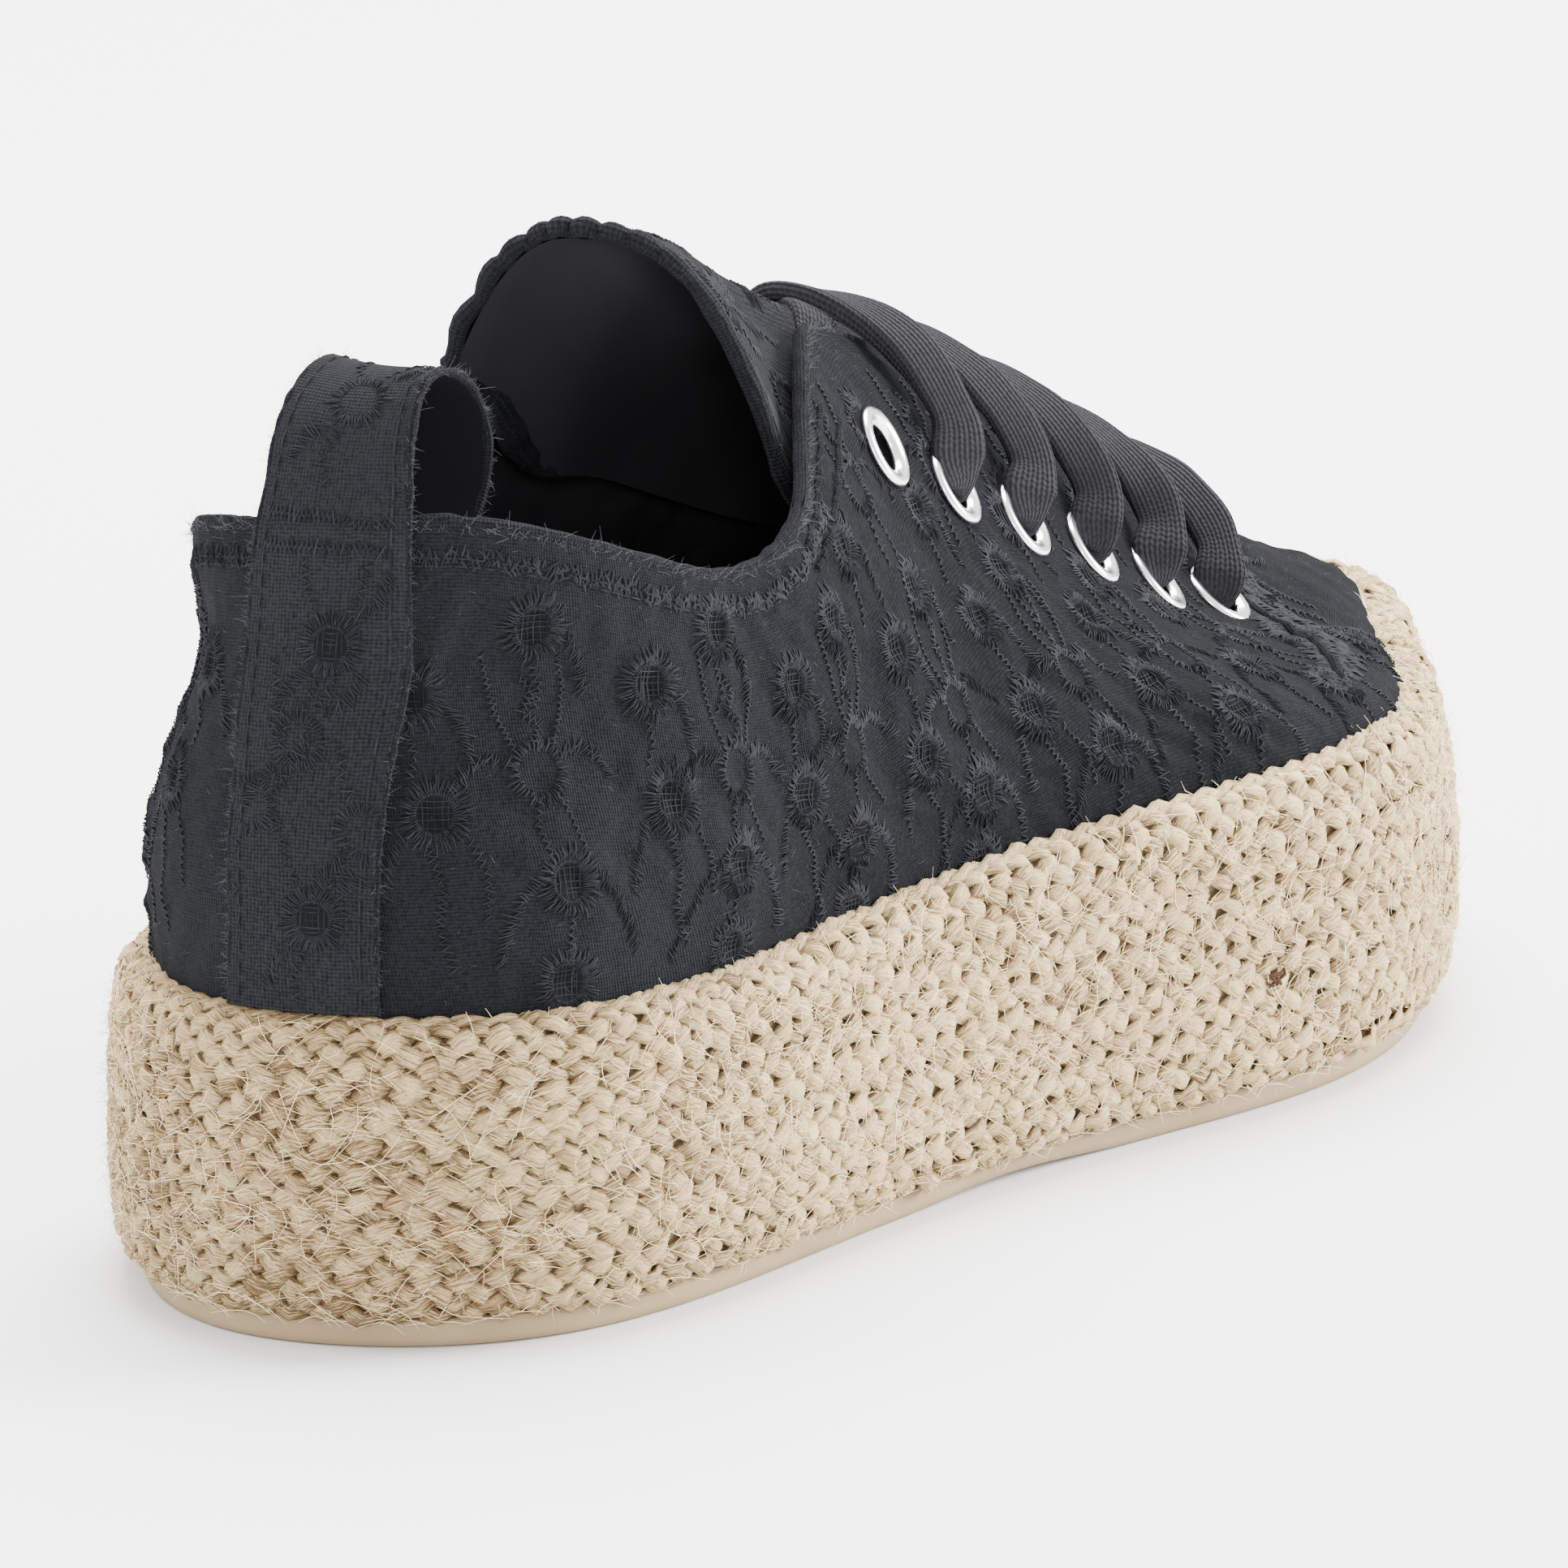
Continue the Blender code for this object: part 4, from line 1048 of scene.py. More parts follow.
# %%
class Stitches:
    """Collects stitches of one chart and makes them one mesh."""

    def __init__(self, chart):
        self.chart, self.rows, self.open = chart, [], []

    def put(self, first, second, size=1.0):
        """Stitches between two sets of places on the chart."""
        self.rows.append(np.column_stack([first, second, np.full(len(first), size)]))

    def add(self, s, t, first, second, size=1.0):
        """Stitches between two sets of flat offsets from one place."""
        ends = (np.column_stack(self.chart.near(s, t, *offsets.T)) for offsets in (first, second))
        self.put(*ends, size)

    def flower(self, s, t, kind, scale=1.0):
        """A ring of fine uneven petals; an open flower has a bound, netted hole."""
        count, ring, petal = (84, 2.4, 2.1) if kind == "open" else (66, 2.5, 1.6)
        turn = TURN * (np.arange(count) + dice.uniform(-0.4, 0.4, count)) / count
        near = scale * ring + dice.normal(0, 0.10, count)
        length = scale * petal * (0.84 + 0.16 * np.cos(13 * turn)) + dice.normal(0, 0.28, count)
        skew = dice.normal(0, 0.07, count)
        self.add(s, t, around(near, turn), around(near + np.maximum(length, 0.6), turn + skew))
        if kind != "open":
            return
        self.open.append((s, t))
        turn = TURN * np.arange(48) / 48
        self.add(s, t, around(2.1 * scale, turn), around(2.8 * scale, turn + 0.1), 1.2)
        for offset in (-1.5, -0.75, 0.0, 0.75, 1.5):
            reach = math.sqrt(2.3 ** 2 - offset ** 2) * scale
            a, b, c, d = offset + dice.normal(0, 0.12, 4)
            self.add(s, t, np.array([(a, -reach), (-reach, c)]),
                     np.array([(b, reach), (reach, d)]), 0.75)

    def line(self, s, t, points, width, spacing=0.55, lean=0.6, size=0.9):
        """Zigzag stitches across a line of flat offsets from a place."""
        _, spots, ahead = resampled(points, spacing)
        count = len(spots)
        sign = np.where(np.arange(count) % 2, 0.5, -0.5) * lean
        reach = 0.62 * width * (1 + dice.normal(0, 0.3, count))
        half = left_of(ahead) * reach[:, None] + ahead * sign[:, None]
        self.add(s, t, spots - half, spots + half, size)

    def hairy(self, s, t, points):
        """Fringe of long and short stitches that lean across a line."""
        _, spots, ahead = resampled(points, 0.36)
        count = len(spots)
        turn = dice.choice([1, -1], p=[0.8, 0.2]) * (1.05 + dice.normal(0, 0.28, count))[:, None]
        reach = (2.3 * dice.uniform(0.45, 1.15, count))[:, None]
        away = reach * (ahead * np.cos(turn) + left_of(ahead) * np.sin(turn))
        self.add(s, t, spots - 0.4 * away, spots + 0.6 * away, 0.95)

    def lines(self, s, t, rows):
        """Lines that hang from a flower: a zigzag has a width, a fringe has none."""
        for points, *width in rows:
            (self.line if width else self.hairy)(s, t, points, *width)

    def running(self, line, length=2.0, gap=0.7, size=1.2):
        """Running stitches along a flat line."""
        at = travelled(line)
        start = np.arange(0, at[-1] - length, length + gap)
        self.put(interp_points(start, at, line), interp_points(start + length, at, line), size)

    def fringe(self, line, length, spacing, side=1, scallop=8.0, depth=1.2, wild=0.35):
        """Long and short stitches square to a flat line, in scallops."""
        at, spots, ahead = resampled(line, spacing)
        wave = depth * np.abs(np.sin(math.pi * at / scallop))
        reach = length * dice.uniform(0.6, 1.2, len(at))
        slant = dice.normal(0, wild, len(at))
        away = side * left_of(ahead)
        start = spots + away * (wave - 0.5 * length)[:, None]
        self.put(start, start + away * reach[:, None] + ahead * slant[:, None])

    def mesh(self, name, radius=0.13, rise=0.25, keep=None):
        """One mesh of the stitches whose two ends keep() lets stay."""
        rows = np.concatenate(self.rows)
        if keep:
            rows = rows[keep(rows[:, :2]) & keep(rows[:, 2:4])]
        first, second, size = rows[:, None, :2], rows[:, None, 2:4], rows[:, 4:]
        part = np.linspace(0, 1, 3)[:, None]
        spots = first * (1 - part) + second * part
        lift = rise * np.array([0.05, 1.0, 0.05]) * size * dice.uniform(0.7, 1.25, size.shape)
        path, up = self.chart.place(spots[..., 0], spots[..., 1], lift)
        thick = radius * size * np.array([0.85, 1.1, 0.85])
        tone = np.clip(dice.normal(0.5, 0.22, size.shape), 0, 1) * np.ones(3)
        finish_piece(tubes(name, path, up, thick, thick, 3, tone=tone), THREAD)

    def holes(self, name, radius):
        """Painted shade in the worked holes, each a small dark fan that follows the cloth."""
        offsets = around(radius * np.array([[0.0], [0.6], [1.0]]), TURN * np.arange(17) / 16)
        lift = np.array([[0.10], [0.10], [0.06]])
        fans = [self.chart.place(*self.chart.near(s, t, offsets[..., 0], offsets[..., 1]), lift)[0]
                for s, t in self.open]
        index = np.arange(51 * len(fans)).reshape(-1, 3, 17)
        faces = np.stack([index[:, :-1, :-1], index[:, 1:, :-1],
                          index[:, 1:, 1:], index[:, :-1, 1:]], -1)
        finish_piece(array_mesh(name, np.reshape(fans, (-1, 3)), faces.reshape(-1, 4)), HOLE_SHADOW)


print("stitches ready")

# %% [markdown]
# ## Flowers, leaves and stems
# A plain flower has two long leaves up, a crooked stem between them, stems down and a
# garland at each side. What hangs below an open flower depends on its height.

# %%
LEAVES = (
    ([(-2.6, 3.0), (-4.2, 7.0), (-5.0, 11.0), (-5.4, 14.0)], 0.7, 0.36),
    ([(2.6, 3.0), (4.4, 6.5), (5.2, 10.0), (5.0, 13.0)], 0.7, 0.36),
    ([(0.0, 3.4), (1.3, 5.4), (-0.9, 7.0), (1.1, 9.0), (-0.4, 10.8)], 1.0, 0.38),
    ([(-0.6, -3.2), (-1.2, -6.0), (-0.4, -9.5)], 0.8, 0.42),
    ([(1.8, -3.0), (3.4, -5.6), (4.2, -9.0)], 0.6, 0.42),
    ([(3.4, 1.6), (6.0, 2.4), (8.5, 1.2), (10.6, -1.4)],),
    ([(-3.4, 1.6), (-6.0, 2.2), (-8.5, 1.0), (-10.6, -1.6)],),
)
# Lines below an open flower, for heights above the tray between two bounds.
STEMS = (
    (26, 36, (([(-0.6, -4.2), (0.5, -8.5), (-0.6, -13.0), (0.5, -18.0)], 1.0, 0.42),
              ([(3.8, -3.4), (5.4, -7.0), (5.0, -12.0)], 0.8, 0.42),
              ([(-4.0, -2.4), (-5.6, -6.0), (-6.6, -10.0)],))),
    (15, 26, (([(4.2, 0.4), (6.8, -2.0), (8.4, -5.6), (9.4, -9.0)],),
              ([(-4.2, 0.4), (-6.6, -1.8), (-8.2, -5.2), (-9.2, -8.6)],),
              ([(0.2, -4.2), (-0.6, -8.0), (0.4, -12.0)], 0.8, 0.42))),
    (40, math.inf, (([(-0.4, -4.2), (0.6, -7.0), (-0.2, -9.5)], 0.8, 0.42),
                    ([(4.2, -1.5), (5.8, -4.5), (6.2, -8.0)],))),
)
SIDES = {1: "outer", -1: "inner"}


def clear_of_eyelets(places):
    point = UPPER.place(*places.T)[0]
    far = np.linalg.norm(point[:, None] - EYELET_POINTS[None], axis=2).min(1) > EYELET_CLEAR
    return far & (places[:, 1] < collar_t(places[:, 0]) - 0.8) & (places[:, 1] > 5.0)


for side, name in SIDES.items():
    work = Stitches(UPPER)
    for s, t, kind in FLOWERS[side]:
        work.flower(s, t, kind)
        if kind == "plain":
            work.lines(s, t, LEAVES)
        else:
            for low, high, rows in STEMS:
                work.lines(s, t, rows if low < t < high else ())
    work.mesh(f"embroidery_{name}", keep=clear_of_eyelets)
    work.holes(f"holes_{name}", HOLE_RADIUS)

# %% [markdown]
# ## Seams of the upper
# Topstitching follows the collar a little below its edge and two ridges follow the
# front of the quarter. The quarter ends over the vamp in a scalloped, fringed edge.

# %%
COLLAR_FRONT = {side: x_to_s(-40.0, CLOTH_MIDDLE, side) for side in (1, -1)}
# x, distance from the middle line and height of points on the vamp seam
VAMP_SEAM = ((80.0, 8.5, 61.0), (75.6, 22.0, 58.0), (66.6, 34.0, 53.5), (55.2, 43.5, 47.5))


def below_edge(distance, s_from, s_to, count):
    """Flat line that runs a constant distance below the collar's edge."""
    s = np.linspace(s_from, s_to, count)
    kernel = np.hanning(31) / np.hanning(31).sum()
    t = np.convolve(np.pad(collar_t(s), 15, "reflect", reflect_type="odd"), kernel, "valid")
    line = np.column_stack([s, t])
    return line - np.sign(s_to - s_from) * distance * left_of(unit(np.gradient(line, axis=0)))


def ridge(name, line, radius):
    """Half-sunk cord under the cloth along a flat line."""
    path, up = UPPER.place(*line.T)
    step = np.arange(len(line))
    rough = 1 + 0.12 * wander(1, len(line), 3)[0]
    thick = radius * rough * (0.2 + 0.8 * smooth_step(step, 0, 5) * smooth_step(step[::-1], 0, 5))
    finish_piece(tubes(name, path, up, thick, thick, 8), CLOTH)


def on_cloth(x, half, z):
    """Chart place of the cloth nearest to a point by its distance from the middle line."""
    i, j = UPPER.nearest((x, float(middle(x)) + half, z), UPPER.t[None] <= COLLAR_T[:, None])
    return RIB_S[i], UPPER.t[j]


seams = Stitches(UPPER)
for distance in (4.4, 5.3):
    line = below_edge(distance, COLLAR_FRONT[-1], COLLAR_FRONT[1], 900)
    seams.running(line, 1.6, 0.5, 0.9)
    seams.fringe(line[::8], 1.2, 0.55, scallop=6.0, depth=1.0, wild=0.8)
for side, side_name in SIDES.items():
    for distance, name in ((2.9, "front"), (6.6, "second")):
        s = COLLAR_FRONT[side]
        line = below_edge(distance, s - 14 * side, s + 16 * side, 160)
        ridge(f"facing_ridge_{name}_{side_name}", line, 0.55)
        seams.running(line, 1.8, 0.6)
    plan = [on_cloth(x, -side * half, z) for x, half, z in VAMP_SEAM]
    line = natural_spline([0.0, 0.36, 0.7, 1.0], plan)(np.linspace(0, 1, 160))
    wave = 1.1 * np.abs(np.sin(np.linspace(0, 5 * math.pi, 160)))[:, None]
    ridge(f"vamp_seam_{side_name}", line + wave * (side, 0.4), 0.75)
    seams.fringe(line, 3.4, 0.28, side=-side)
    for step in (-2.5, 3.5, 7.0, 10.5, 14.0):
        seams.fringe(line + (step * side, -0.6), 2.6, 0.42, side=-side)
seams.mesh("seam_stitches", radius=0.16, rise=0.16)

# %% [markdown]
# ## Tongue
# A padded strip whose top stands above the collar. Its outside carries the same
# embroidery and its edge is scalloped; the inside is plain and dark.

# %%
def tongue_outside(x, half):
    """Height of the tongue's outside: the roof at the top, under the facings below it."""
    ridge_z, row, fullness = np.moveaxis(ROOF(x), -1, 0)
    tilt = fullness * (ridge_z - row) / EYELET_ROW * (half / EYELET_ROW) ** (fullness - 1)
    facing = smooth_step(half, 2.5, 6.0) * smooth_step(x, -52.0, -34.0)
    cover = np.maximum(facing, smooth_step(x, 55.0, 72.0))
    return roof(x, half) - (UPPER_WALL + TONGUE_CLEARANCE) * np.sqrt(1 + tilt ** 2) * cover


def build_tongue_chart():
    share, across = np.meshgrid(np.linspace(0, 1, 160), np.linspace(-1, 1, 61), indexing="ij")
    half = TONGUE_HALF + (TONGUE_END_HALF - TONGUE_HALF) * share
    sweep = np.where(across < 0, TONGUE_SWEEP, -TONGUE_WING)
    x = TONGUE_TOP_X + share * TONGUE_LENGTH + (1 - share) * sweep * across ** 2
    squeeze = np.where(across > 0, TONGUE_SQUEEZE * (1 - smooth_step(share, 0, 0.3)), 0.0)
    y = middle(x) + half * across * (1 - squeeze)
    points = np.stack([x, y, tongue_outside(x, half * np.abs(across))], -1)
    chart = Chart(share[:, 0] * TONGUE_LENGTH, across[0] * TONGUE_HALF, points)
    return chart.raised(0.14 * np.sin(share * 40.0) * np.sin(across * 4.5) - 0.15)


def tongue_edge(samples):
    """Length gone and chart places along the tongue's side, top and other side."""
    corners = [(118.0, -TONGUE_HALF), (0.0, -TONGUE_HALF), (0.0, TONGUE_HALF), (118.0, TONGUE_HALF)]
    legs = travelled(corners)
    at = np.linspace(0, legs[-1], samples)
    return at, interp_points(at, legs, corners)


TONGUE = build_tongue_chart()
TONGUE_SIZE = (130.0, 41.0)
outside, inside = (TONGUE.strip(TONGUE_LENGTH, 2 * TONGUE_HALF, lift)
                   for lift in (0, 0.2 - TONGUE_WALL))
finish_piece(patch("tongue_outer", 130, 48, outside, TONGUE_SIZE), CLOTH_TONGUE_SHEEN, "tongue")
finish_piece(patch("tongue_lining", 90, 30, inside, TONGUE_SIZE, inward=True), TONGUE_LINING)

at, edge = tongue_edge(420)
s, t = edge.T
scallop = np.abs(np.sin(at / 3.6 * math.pi)) + 0.30 * wander(1, len(at), 4)[0]
top, rim = smooth_step(6 - s, 0, 6), np.sign(t) * smooth_step(np.abs(t), 15, TONGUE_HALF)
path, up = TONGUE.place(s, t, -0.9)
path += (scallop * 0.9 * top)[:, None] * (-0.8, 0.0, 0.6)
path += (scallop * 0.8 * rim)[:, None] * (0.0, 0.8, 0.2)
thick = (1.0 + 0.22 * scallop) * (1 - 0.6 * smooth_step(s, 22, 34))
thick += 0.9 * np.exp(-((s - 14.0) / 6.0) ** 2) * (t > TONGUE_HALF - 0.1)
thick += 0.5 * np.exp(-((s - 10.0) / 12.0) ** 2) * (t < 0.1 - TONGUE_HALF)
finish_piece(tubes("tongue_edge", path, up, thick, thick, 10), CLOTH_TONGUE_SHEEN)

work = Stitches(TONGUE)
for s, t, kind in ((7.0, -12.0, "open"), (9.0, 0.0, "plain"), (7.0, 12.0, "open"),
                   (21.0, -7.0, "open"), (21.0, 7.5, "open"), (32.0, 0.0, "open"),
                   (15.0, -15.5, "plain")):
    work.flower(s, t, kind)
    work.line(s, t, [(3.5, -2), (7, -3), (10, -2.0)], 1.0)
s, t = tongue_edge(400)[1].T
line = np.column_stack([s + 1.2 * (s < 1), np.clip(t, -TONGUE_HALF + 1.2, TONGUE_HALF - 1.2)])
work.fringe(line[:200], 2.6, 0.33, side=-1)
work.fringe(line[200:], 2.6, 0.33, side=-1)
work.mesh("tongue_embroidery", rise=0.16,
          keep=lambda p: (np.abs(p[:, 1]) < TONGUE_HALF - 0.3) & (p[:, 0] > 0.2) & (p[:, 0] < 60))
work.holes("tongue_holes", 2.1)

# %% [markdown]
# ## Heel strip and pull loop
# One strip climbs the back seam, leaves the collar, loops forward and comes down
# inside.

# %%
def build_strip_chart(levels=90, over=120):
    """Chart of the strip, and the length at which it leaves the collar."""
    at, heights = np.linspace(-3, 3, 241), np.linspace(0.16, 0.985, levels)
    local = Chart(at, heights, rib_points_at(at, heights))
    across = np.linspace(-0.5, 0.5, 21)
    rows = []
    for j in range(levels):
        y = local.points[::-1, j, 1]
        point, normal = (interp_points(STRIP_CENTRE_Y + STRIP_WIDTH * across, y, table[::-1, j])
                         for table in (local.points, local.normals))
        rows.append(point + unit(normal) * (STRIP_LIFT + STRIP_THICKNESS))
    last = len(LOOP_PATH) - 1
    share = np.linspace(0, 1, over + 1)[1:]
    loop = natural_spline(range(last + 1), LOOP_PATH)(0.3 + (last - 0.3) * share)
    outer, centre = rows[-1], rows[-1][10]
    for (x, z), part in zip(loop, share):
        flat = min(1.0, part * 14 / 4)
        bulge = (outer[:, 0] - centre[0]) * (1 - flat)
        sag = 0.5 * flat * (1 - (2 * across) ** 2) * math.sin(math.pi * min(1.0, part * 1.4))
        y = STRIP_CENTRE_Y + (STRIP_WIDTH - 1.5 * flat) * across
        rows.append(np.column_stack([x + bulge, y, z - sag]))
    points = np.array(rows)
    s = travelled(points[:, 10])
    long = s[:, None]
    fold = 0.12 * np.sin(long * 0.38 + across * 3) + 0.08 * np.sin(long * 0.16 - across * 7) - 0.2
    return Chart(s, across * STRIP_WIDTH, points).raised(fold), s[levels - 1]


STRIP, STRIP_COLLAR = build_strip_chart()
STRIP_LENGTH = STRIP.s[-1]
STRIP_SIZE = (STRIP_LENGTH, STRIP_WIDTH)
outside, inside = (STRIP.strip(*STRIP_SIZE, lift) for lift in (0, 0.2 - STRIP_THICKNESS))
finish_piece(patch("loop_outer", 170, 24, outside, STRIP_SIZE), CLOTH_HEEL, "pull_loop")
finish_piece(patch("loop_lining", 170, 20, inside, STRIP_SIZE, inward=True), LOOP_LINING)
s = np.linspace(0, STRIP_LENGTH, 220)
path, up = STRIP.place(s, np.array([[-0.5], [0.5]]) * STRIP_WIDTH, -0.5)
thick = 0.56 + 0.06 * wander(2, len(s), 3)
finish_piece(tubes("loop_edges", path, up, thick, thick, 8), CLOTH)
path, up = STRIP.place(STRIP_LENGTH, np.linspace(-8, 8, 30), -0.5)
finish_piece(tubes("loop_end", path, up, 0.56, 0.56, 8), CLOTH_HEEL)

# Lines at each side of a flower of the strip
SPRAYS = (([(-4, 1), (-7, 2.4), (-10, 1.5)], 1.0), ([(4, 2), (6, 3.2), (9, 3.8)], 0.8),
          ([(4, -2), (6, -3.2), (9, -3.8)], 0.8), ([(-3.5, 2.5), (-5.0, 4.5), (-8.0, 6.0)],),
          ([(3.5, -3.0), (4.5, -5.0), (8.0, -6.5)],))
work = Stitches(STRIP)
for t in (-7.0, 7.0):
    work.running(np.array([(1, t), (STRIP_LENGTH - 1, t)]), 1.9, 0.7)
for s in (1.2, -2.4):
    row = np.column_stack([0.3 * wander(1, 16, 2)[0], np.linspace(-7.5, 7.5, 16)])
    work.line(STRIP_COLLAR + s, 0.0, row, 1.1, 0.30, 0.5, 1.1)
for s, t, kind in ((-13.0, -1.5, "open"), (-44.0, -2.0, "open"), (-31.5, 6.0, "plain"),
                   (-34.0, -7.0, "plain"), (15.5, -1.0, "plain"), (-24.0, 1.0, "plain")):
    work.flower(STRIP_COLLAR + s, t, kind, 0.9)
    work.lines(STRIP_COLLAR + s, t, SPRAYS)
work.mesh("loop_embroidery", rise=0.16, keep=lambda p: np.abs(p[:, 1]) < 7.9)
work.holes("loop_holes", 1.9)

# %% [markdown]
# ## Eyelets
# A bevelled silver ring with a short barrel, turned from one profile. The local frame
# of each comes from the cloth under it.

# %%
# radius, height above the cloth
EYELET_PROFILE = ((5.1, 0.05), (5.25, 0.3), (5.2, 0.6), (4.95, 0.88), (4.5, 1.0), (4.0, 0.95),
                  (3.5, 0.72), (3.1, 0.35), (2.95, 0.0), (3.0, -0.3), (3.4, -0.2), (5.1, 0.05))


def eyelet_mesh(name, point, normal, turns=48):
    radius, height = np.array(EYELET_PROFILE).T
    along = unit(np.array([1.0, 0, 0]) - normal * normal[0])
    turn = TURN * np.arange(turns)[:, None] / turns
    ring = np.cos(turn) * along + np.sin(turn) * np.cross(normal, along)
    points = point + ring[:, None] * radius[:, None] + normal * height[:, None]
    index = np.arange(points[..., 0].size).reshape(turns, -1)
    after = np.roll(index, -1, 0)
    faces = np.stack([index[:, :-1], after[:, :-1], after[:, 1:], index[:, 1:]], -1)
    return array_mesh(name, points.reshape(-1, 3), faces.reshape(-1, 4))


for eyelet in EYELETS:
    label = f"{SIDES[-eyelet['side']]}_{eyelet['number'] + 1}"
    finish_piece(eyelet_mesh(f"ring_{label}", eyelet["point"], eyelet["normal"]), SILVER,
                 f"eyelet_{label}", slot="silver_metal")

# %% [markdown]
# ## Laces
# A flat, padded lace comes up through each eyelet but the top pair, stands off the
# facing in a curl, crosses the tongue and goes in under the other facing. Laces from
# the outer side lie over those from the inner side.

# %%
# distance from the middle line, height off the roof, shift along the shoe, half
# width, half thickness, turn of the face towards the heel, and how much lower a lace
# of the inner side lies. The first row is down in the eyelet.
LACE_PATH = (
    (-18.5, -2.6, 0.4, 1.6, 0.9, 0.2, 0.0),
    (-18.3, 0.5, 0.2, 2.3, 1.0, 0.45, 0.0),
    (-17.3, 2.2, -0.5, 3.3, 1.0, 0.75, -0.2),
    (-15.6, 3.4, 0.4, 3.0, 0.95, 0.85, -0.9),
    (-13.2, 3.9, 0.4, 3.0, 0.95, 0.75, -1.2),
    (-10.0, 3.6, -0.3, 3.0, 0.95, 0.5, -1.5),
    (-6.0, 2.6, -2.2, 3.0, 0.95, 0.25, -1.7),
    (0.0, 1.5, -6.5, 3.1, 0.95, 0.0, -1.8),
    (3.6, 0.5, -8.8, 3.0, 0.85, 0.0, -1.5),
    (6.0, -2.0, -10.4, 2.8, 0.6, 0.0, -0.2),
    (9.0, -2.8, -12.2, 2.7, 0.45, 0.0, 0.0),
)
LACE_BULGE = (0.0, 0.0, 1.6, 1.3, 1.8, 0.7)     # how far each lace curls towards the toe
LACE_STEPS = 70
# The top lace is fuller and higher where it crosses: row, more height, more thickness
TOP_LACE = {5: (0.1, 0.5), 6: (0.1, 0.5), 7: (0.1, 0.5), 8: (0.5, 0.4)}


def roof_frame(x, across, step=0.05):
    """Point and normal of the roof at a signed distance from the middle line."""
    half = abs(across)
    height = roof(x, half)
    along = (roof(x + step, half) - height) / step
    slope = math.copysign(1, across) * (roof(x, half + step) - height) / step
    return np.array([x, middle(x) + across, height]), unit(np.array([-along, -slope, 1.0]))


def lace_path(eyelet):
    """Centre line, up vectors and half sizes of one lace."""
    rows, ups, sizes = [], [], []
    side, number = eyelet["side"], eyelet["number"]
    for i, (across, height, shift, wide, high, turn, lower) in enumerate(LACE_PATH):
        shift += LACE_BULGE[number] * math.sin(math.pi * min(i, 7) / 7) ** 4
        shift -= 0.9 if number > 3 and 0 < i < 4 else 0.0
        more, thicker = TOP_LACE.get(i, (0, 0)) if number == 1 else (0, 0)
        if i < 2:
            point, normal = eyelet["point"] + (shift, 0, 0), eyelet["normal"]
        else:
            point, normal = roof_frame(eyelet["x"] + shift, -side * across)
        rows.append(point + normal * (height + more + (lower if side > 0 else 0)))
        ups.append(unit(normal * math.cos(turn) - (math.sin(turn), 0, 0)))
        sizes.append((wide, high + thicker))
    knots = travelled(rows, 0.7)
    at = np.linspace(0, knots[-1], LACE_STEPS)
    path, up, size = (natural_spline(knots, values)(at) for values in (rows, ups, sizes))
    return path, unit(up), size.T


for eyelet in EYELETS:
    number, side = eyelet["number"], eyelet["side"]
    if number == 0:
        continue
    path, up, (wide, high) = lace_path(eyelet)
    lean = 0.12 * wander(1, LACE_STEPS, 14)[0][:, None]
    up = unit(up + unit(np.cross(np.gradient(path, axis=0), up)) * lean)
    wobble = 1 + 0.035 * wander(1, LACE_STEPS, 5)
    mesh = tubes(f"lace_{SIDES[-side]}_{number}", path, up, wide * wobble, high * wobble, 16,
                 power=5.0)
    finish_piece(mesh, LACE, *([f"lace_crossing_{number}"] if side < 0 else []), slot="black_lace")

# %% [markdown]
# ## Lint
# Fine loose fibres stand on the collar, the cloth, the loop's edges and the tongue.

# %%
def fuzz(name, place, lean, longest, thick):
    """One thin curved fibre at each point that place() gave, with the normals there."""
    roots, normals = place
    count = len(roots)
    away = unit(normals + lean + dice.normal(0, 0.75, (count, 3)))[:, None]
    bend = dice.normal(0, 0.5, (count, 3))[:, None]
    length = longest * dice.beta(1.4, 2.6, count)[:, None, None]
    part = np.linspace(0, 1, 3)
    path = roots[:, None] + (away * part[:, None] + bend * part[:, None] ** 2 * 0.7) * length
    up = np.broadcast_to(unit(dice.normal(0, 1, (count, 3)))[:, None], path.shape)
    thin = thick * (1 - 0.7 * part)
    tone = np.clip(dice.normal(0.75, 0.2, (count, 1)), 0, 1) * np.ones(3)
    finish_piece(tubes(name, path, up, thin, thin, 3, tone=tone), LINT)


s = dice.uniform(RIB_S[0], RIB_S[-1], 3600)
places = UPPER.place(s, collar_t(s) - 0.3 - dice.uniform(0, 1.2, len(s)), -0.1)
fuzz("collar_lint", places, (0, 0, 0.6), 2.2, 0.035)
s = dice.uniform(RIB_S[0], RIB_S[-1], 2600)
fuzz("cloth_lint", UPPER.place(s, dice.uniform(0.12, 0.98, len(s)) * collar_t(s)), 0, 1.3, 0.03)
s = dice.uniform(0.0, STRIP_LENGTH, 2400)
side = np.sign(dice.normal(0, 1, len(s)))
places = STRIP.place(s, side * (0.5 * STRIP_WIDTH + 0.3), -0.5)
fuzz("loop_lint", places, side[:, None] * (0, 1, 0), 1.9, 0.035)
fuzz("tongue_lint", TONGUE.place(*tongue_edge(1400)[1].T, -0.6), (-0.8, 0, 0.3), 2.0, 0.035)

# %% [markdown]
# ## Stage
# A pale floor that meets a pale world, a broad light above the toe, a lower one on
# the near side, two faint ones from the far side and the front, and the camera behind
# and beside the heel.

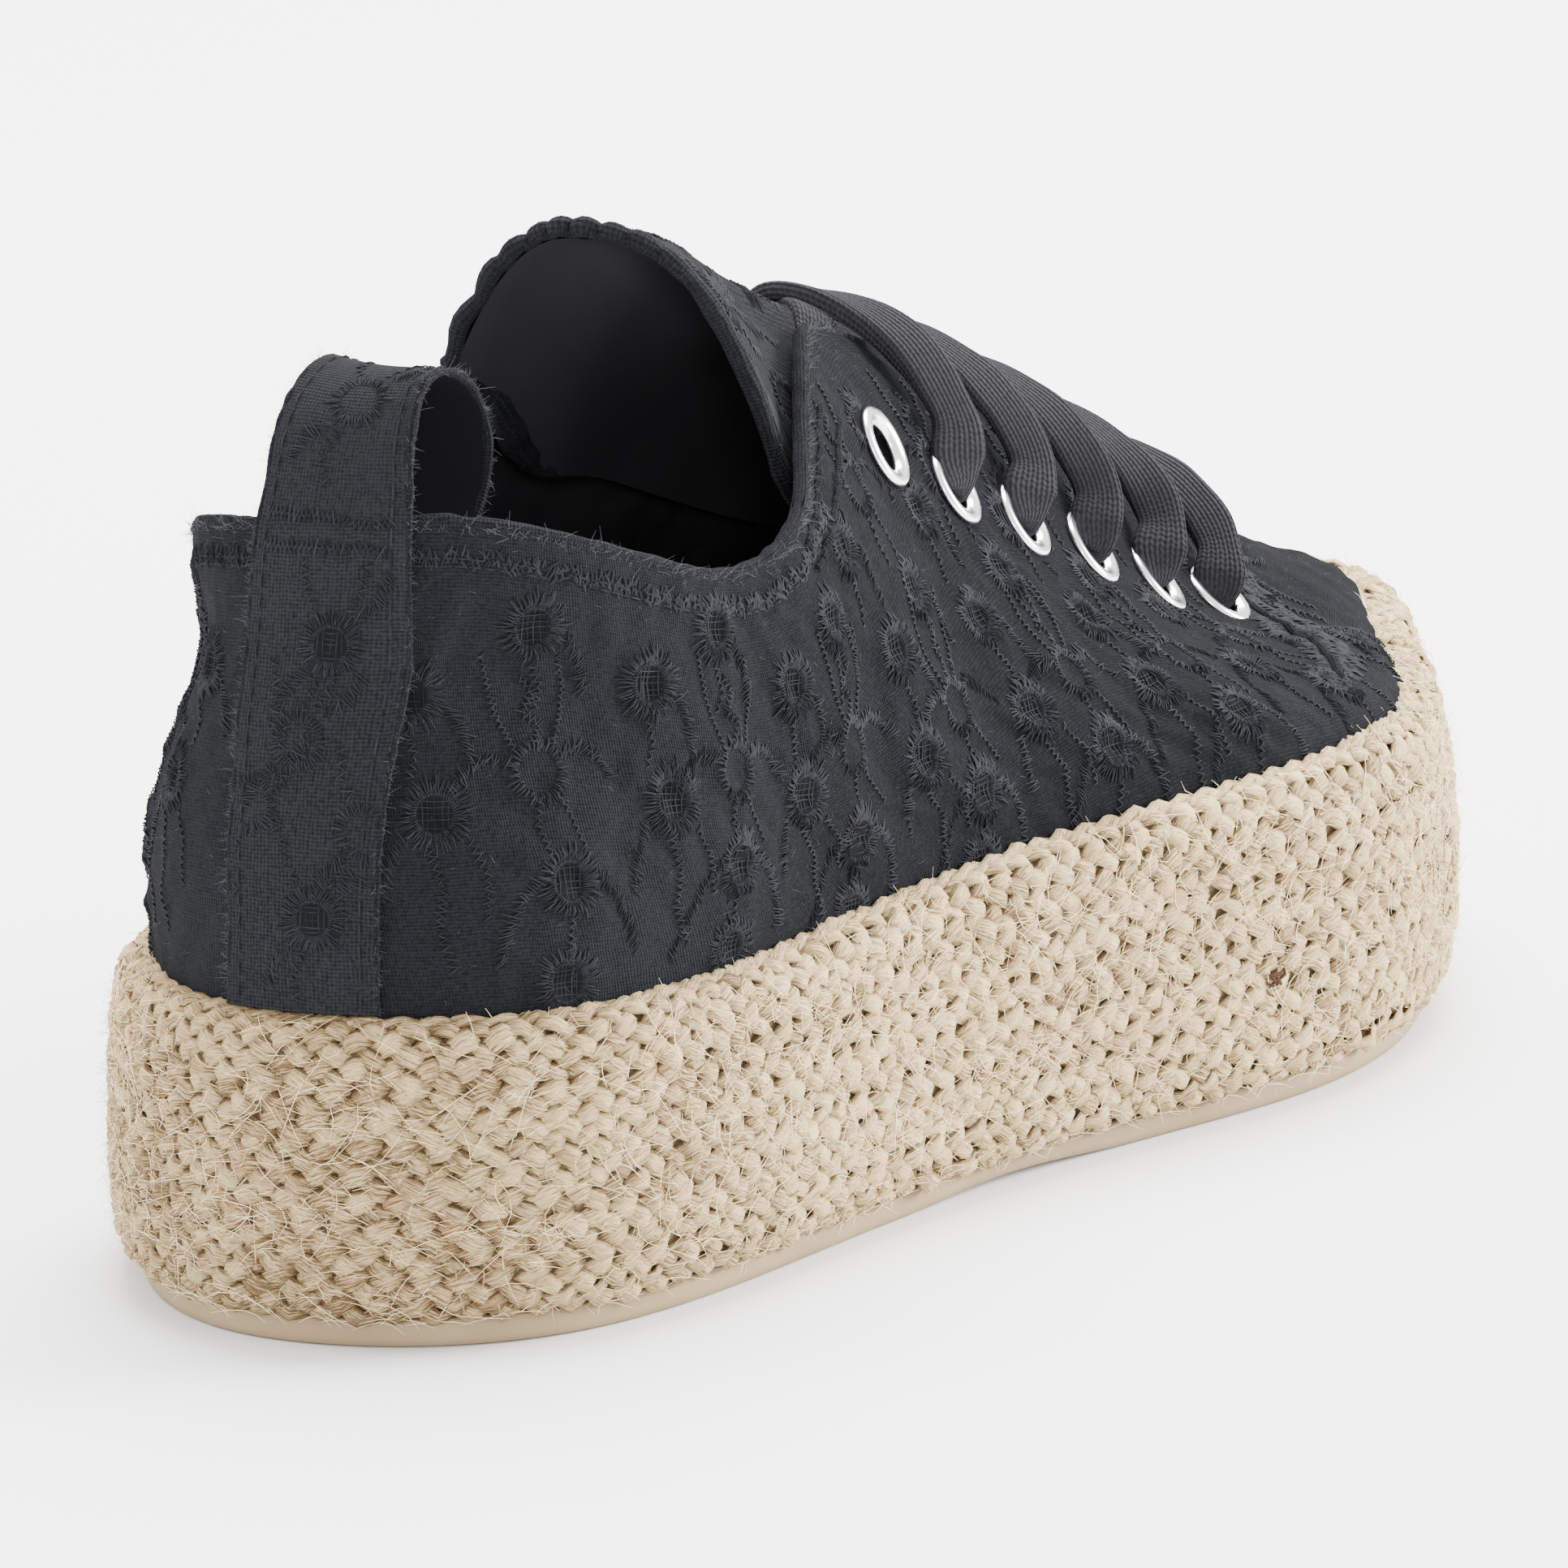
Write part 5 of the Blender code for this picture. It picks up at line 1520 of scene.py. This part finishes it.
# %%
CAMERA_AZIMUTH = math.radians(-60.0)
CAMERA_ELEVATION = math.radians(12.2)
CAMERA_DISTANCE = 1400.0
CAMERA_AIM = (0.0, 1.886, 50.0)
CAMERA_SHIFT = (-5.7, -10.0)
CAMERA_LENS = 263.4
CAMERA_SENSOR = 36.0
PALE = (0.88, 0.88, 0.88)
WORLD_STRENGTH = 2.35
LIGHTS = (      # name, place, aim, size, power
    ("top", (0.80, 0.35, 2.00), (0.0, 0.0, 0.05), 1.8, 204.0),
    ("right", (1.60, -1.50, 0.80), (0.0, 0.0, 0.05), 1.2, 185.0),
    ("left", (-0.90, 1.80, 0.90), (0.0, 0.0, 0.05), 0.9, 30.0),
    ("front", (-1.22, -0.71, 0.42), (0.0, 0.0, 0.07), 0.3, 8.0),
)


def staged(name, data, place=(0, 0, 0), away=None):
    """An object of the stage; away is the way its back is turned."""
    thing = bpy.data.objects.new(name, data)
    bpy.context.scene.collection.objects.link(thing)
    thing.location = place
    if away:
        thing.rotation_mode = "QUATERNION"
        thing.rotation_quaternion = (-away).to_track_quat("-Z", "Y")
    return thing


level = math.cos(CAMERA_ELEVATION)
back = Vector((math.sin(CAMERA_AZIMUTH) * level, -math.cos(CAMERA_AZIMUTH) * level,
               math.sin(CAMERA_ELEVATION)))
right = Vector((math.cos(CAMERA_AZIMUTH), math.sin(CAMERA_AZIMUTH), 0.0))
camera_data = bpy.data.cameras.new("camera")
camera_data.lens = CAMERA_LENS
camera_data.sensor_width = CAMERA_SENSOR
camera_data.clip_start = 0.05
camera_data.clip_end = 60.0
spot = (back * CAMERA_DISTANCE + Vector(CAMERA_AIM) + right * CAMERA_SHIFT[0]
        + right.cross(-back) * CAMERA_SHIFT[1])
camera = staged("camera", camera_data, spot * MM, back)
bpy.context.scene.camera = camera

for name, place, aim, size, power in LIGHTS:
    data = bpy.data.lights.new(name, "AREA")
    data.shape = "DISK"
    data.size = size
    data.energy = power
    light = staged(name, data, place, Vector(place) - Vector(aim))

bm = bmesh.new()
bmesh.ops.create_grid(bm, x_segments=2, y_segments=2, size=20.0)
floor_mesh = bpy.data.meshes.new("floor")
bm.to_mesh(floor_mesh)
bm.free()
floor_mesh.materials.append(plain("floor paper", PALE, 0.9))
floor = staged("floor", floor_mesh)

world = bpy.data.worlds.new("studio")
world.use_nodes = True
background = world.node_tree.nodes["Background"].inputs
background["Color"].default_value = (*PALE, 1.0)
background["Strength"].default_value = WORLD_STRENGTH
bpy.context.scene.world = world
print("camera at", [round(v, 3) for v in camera.location])
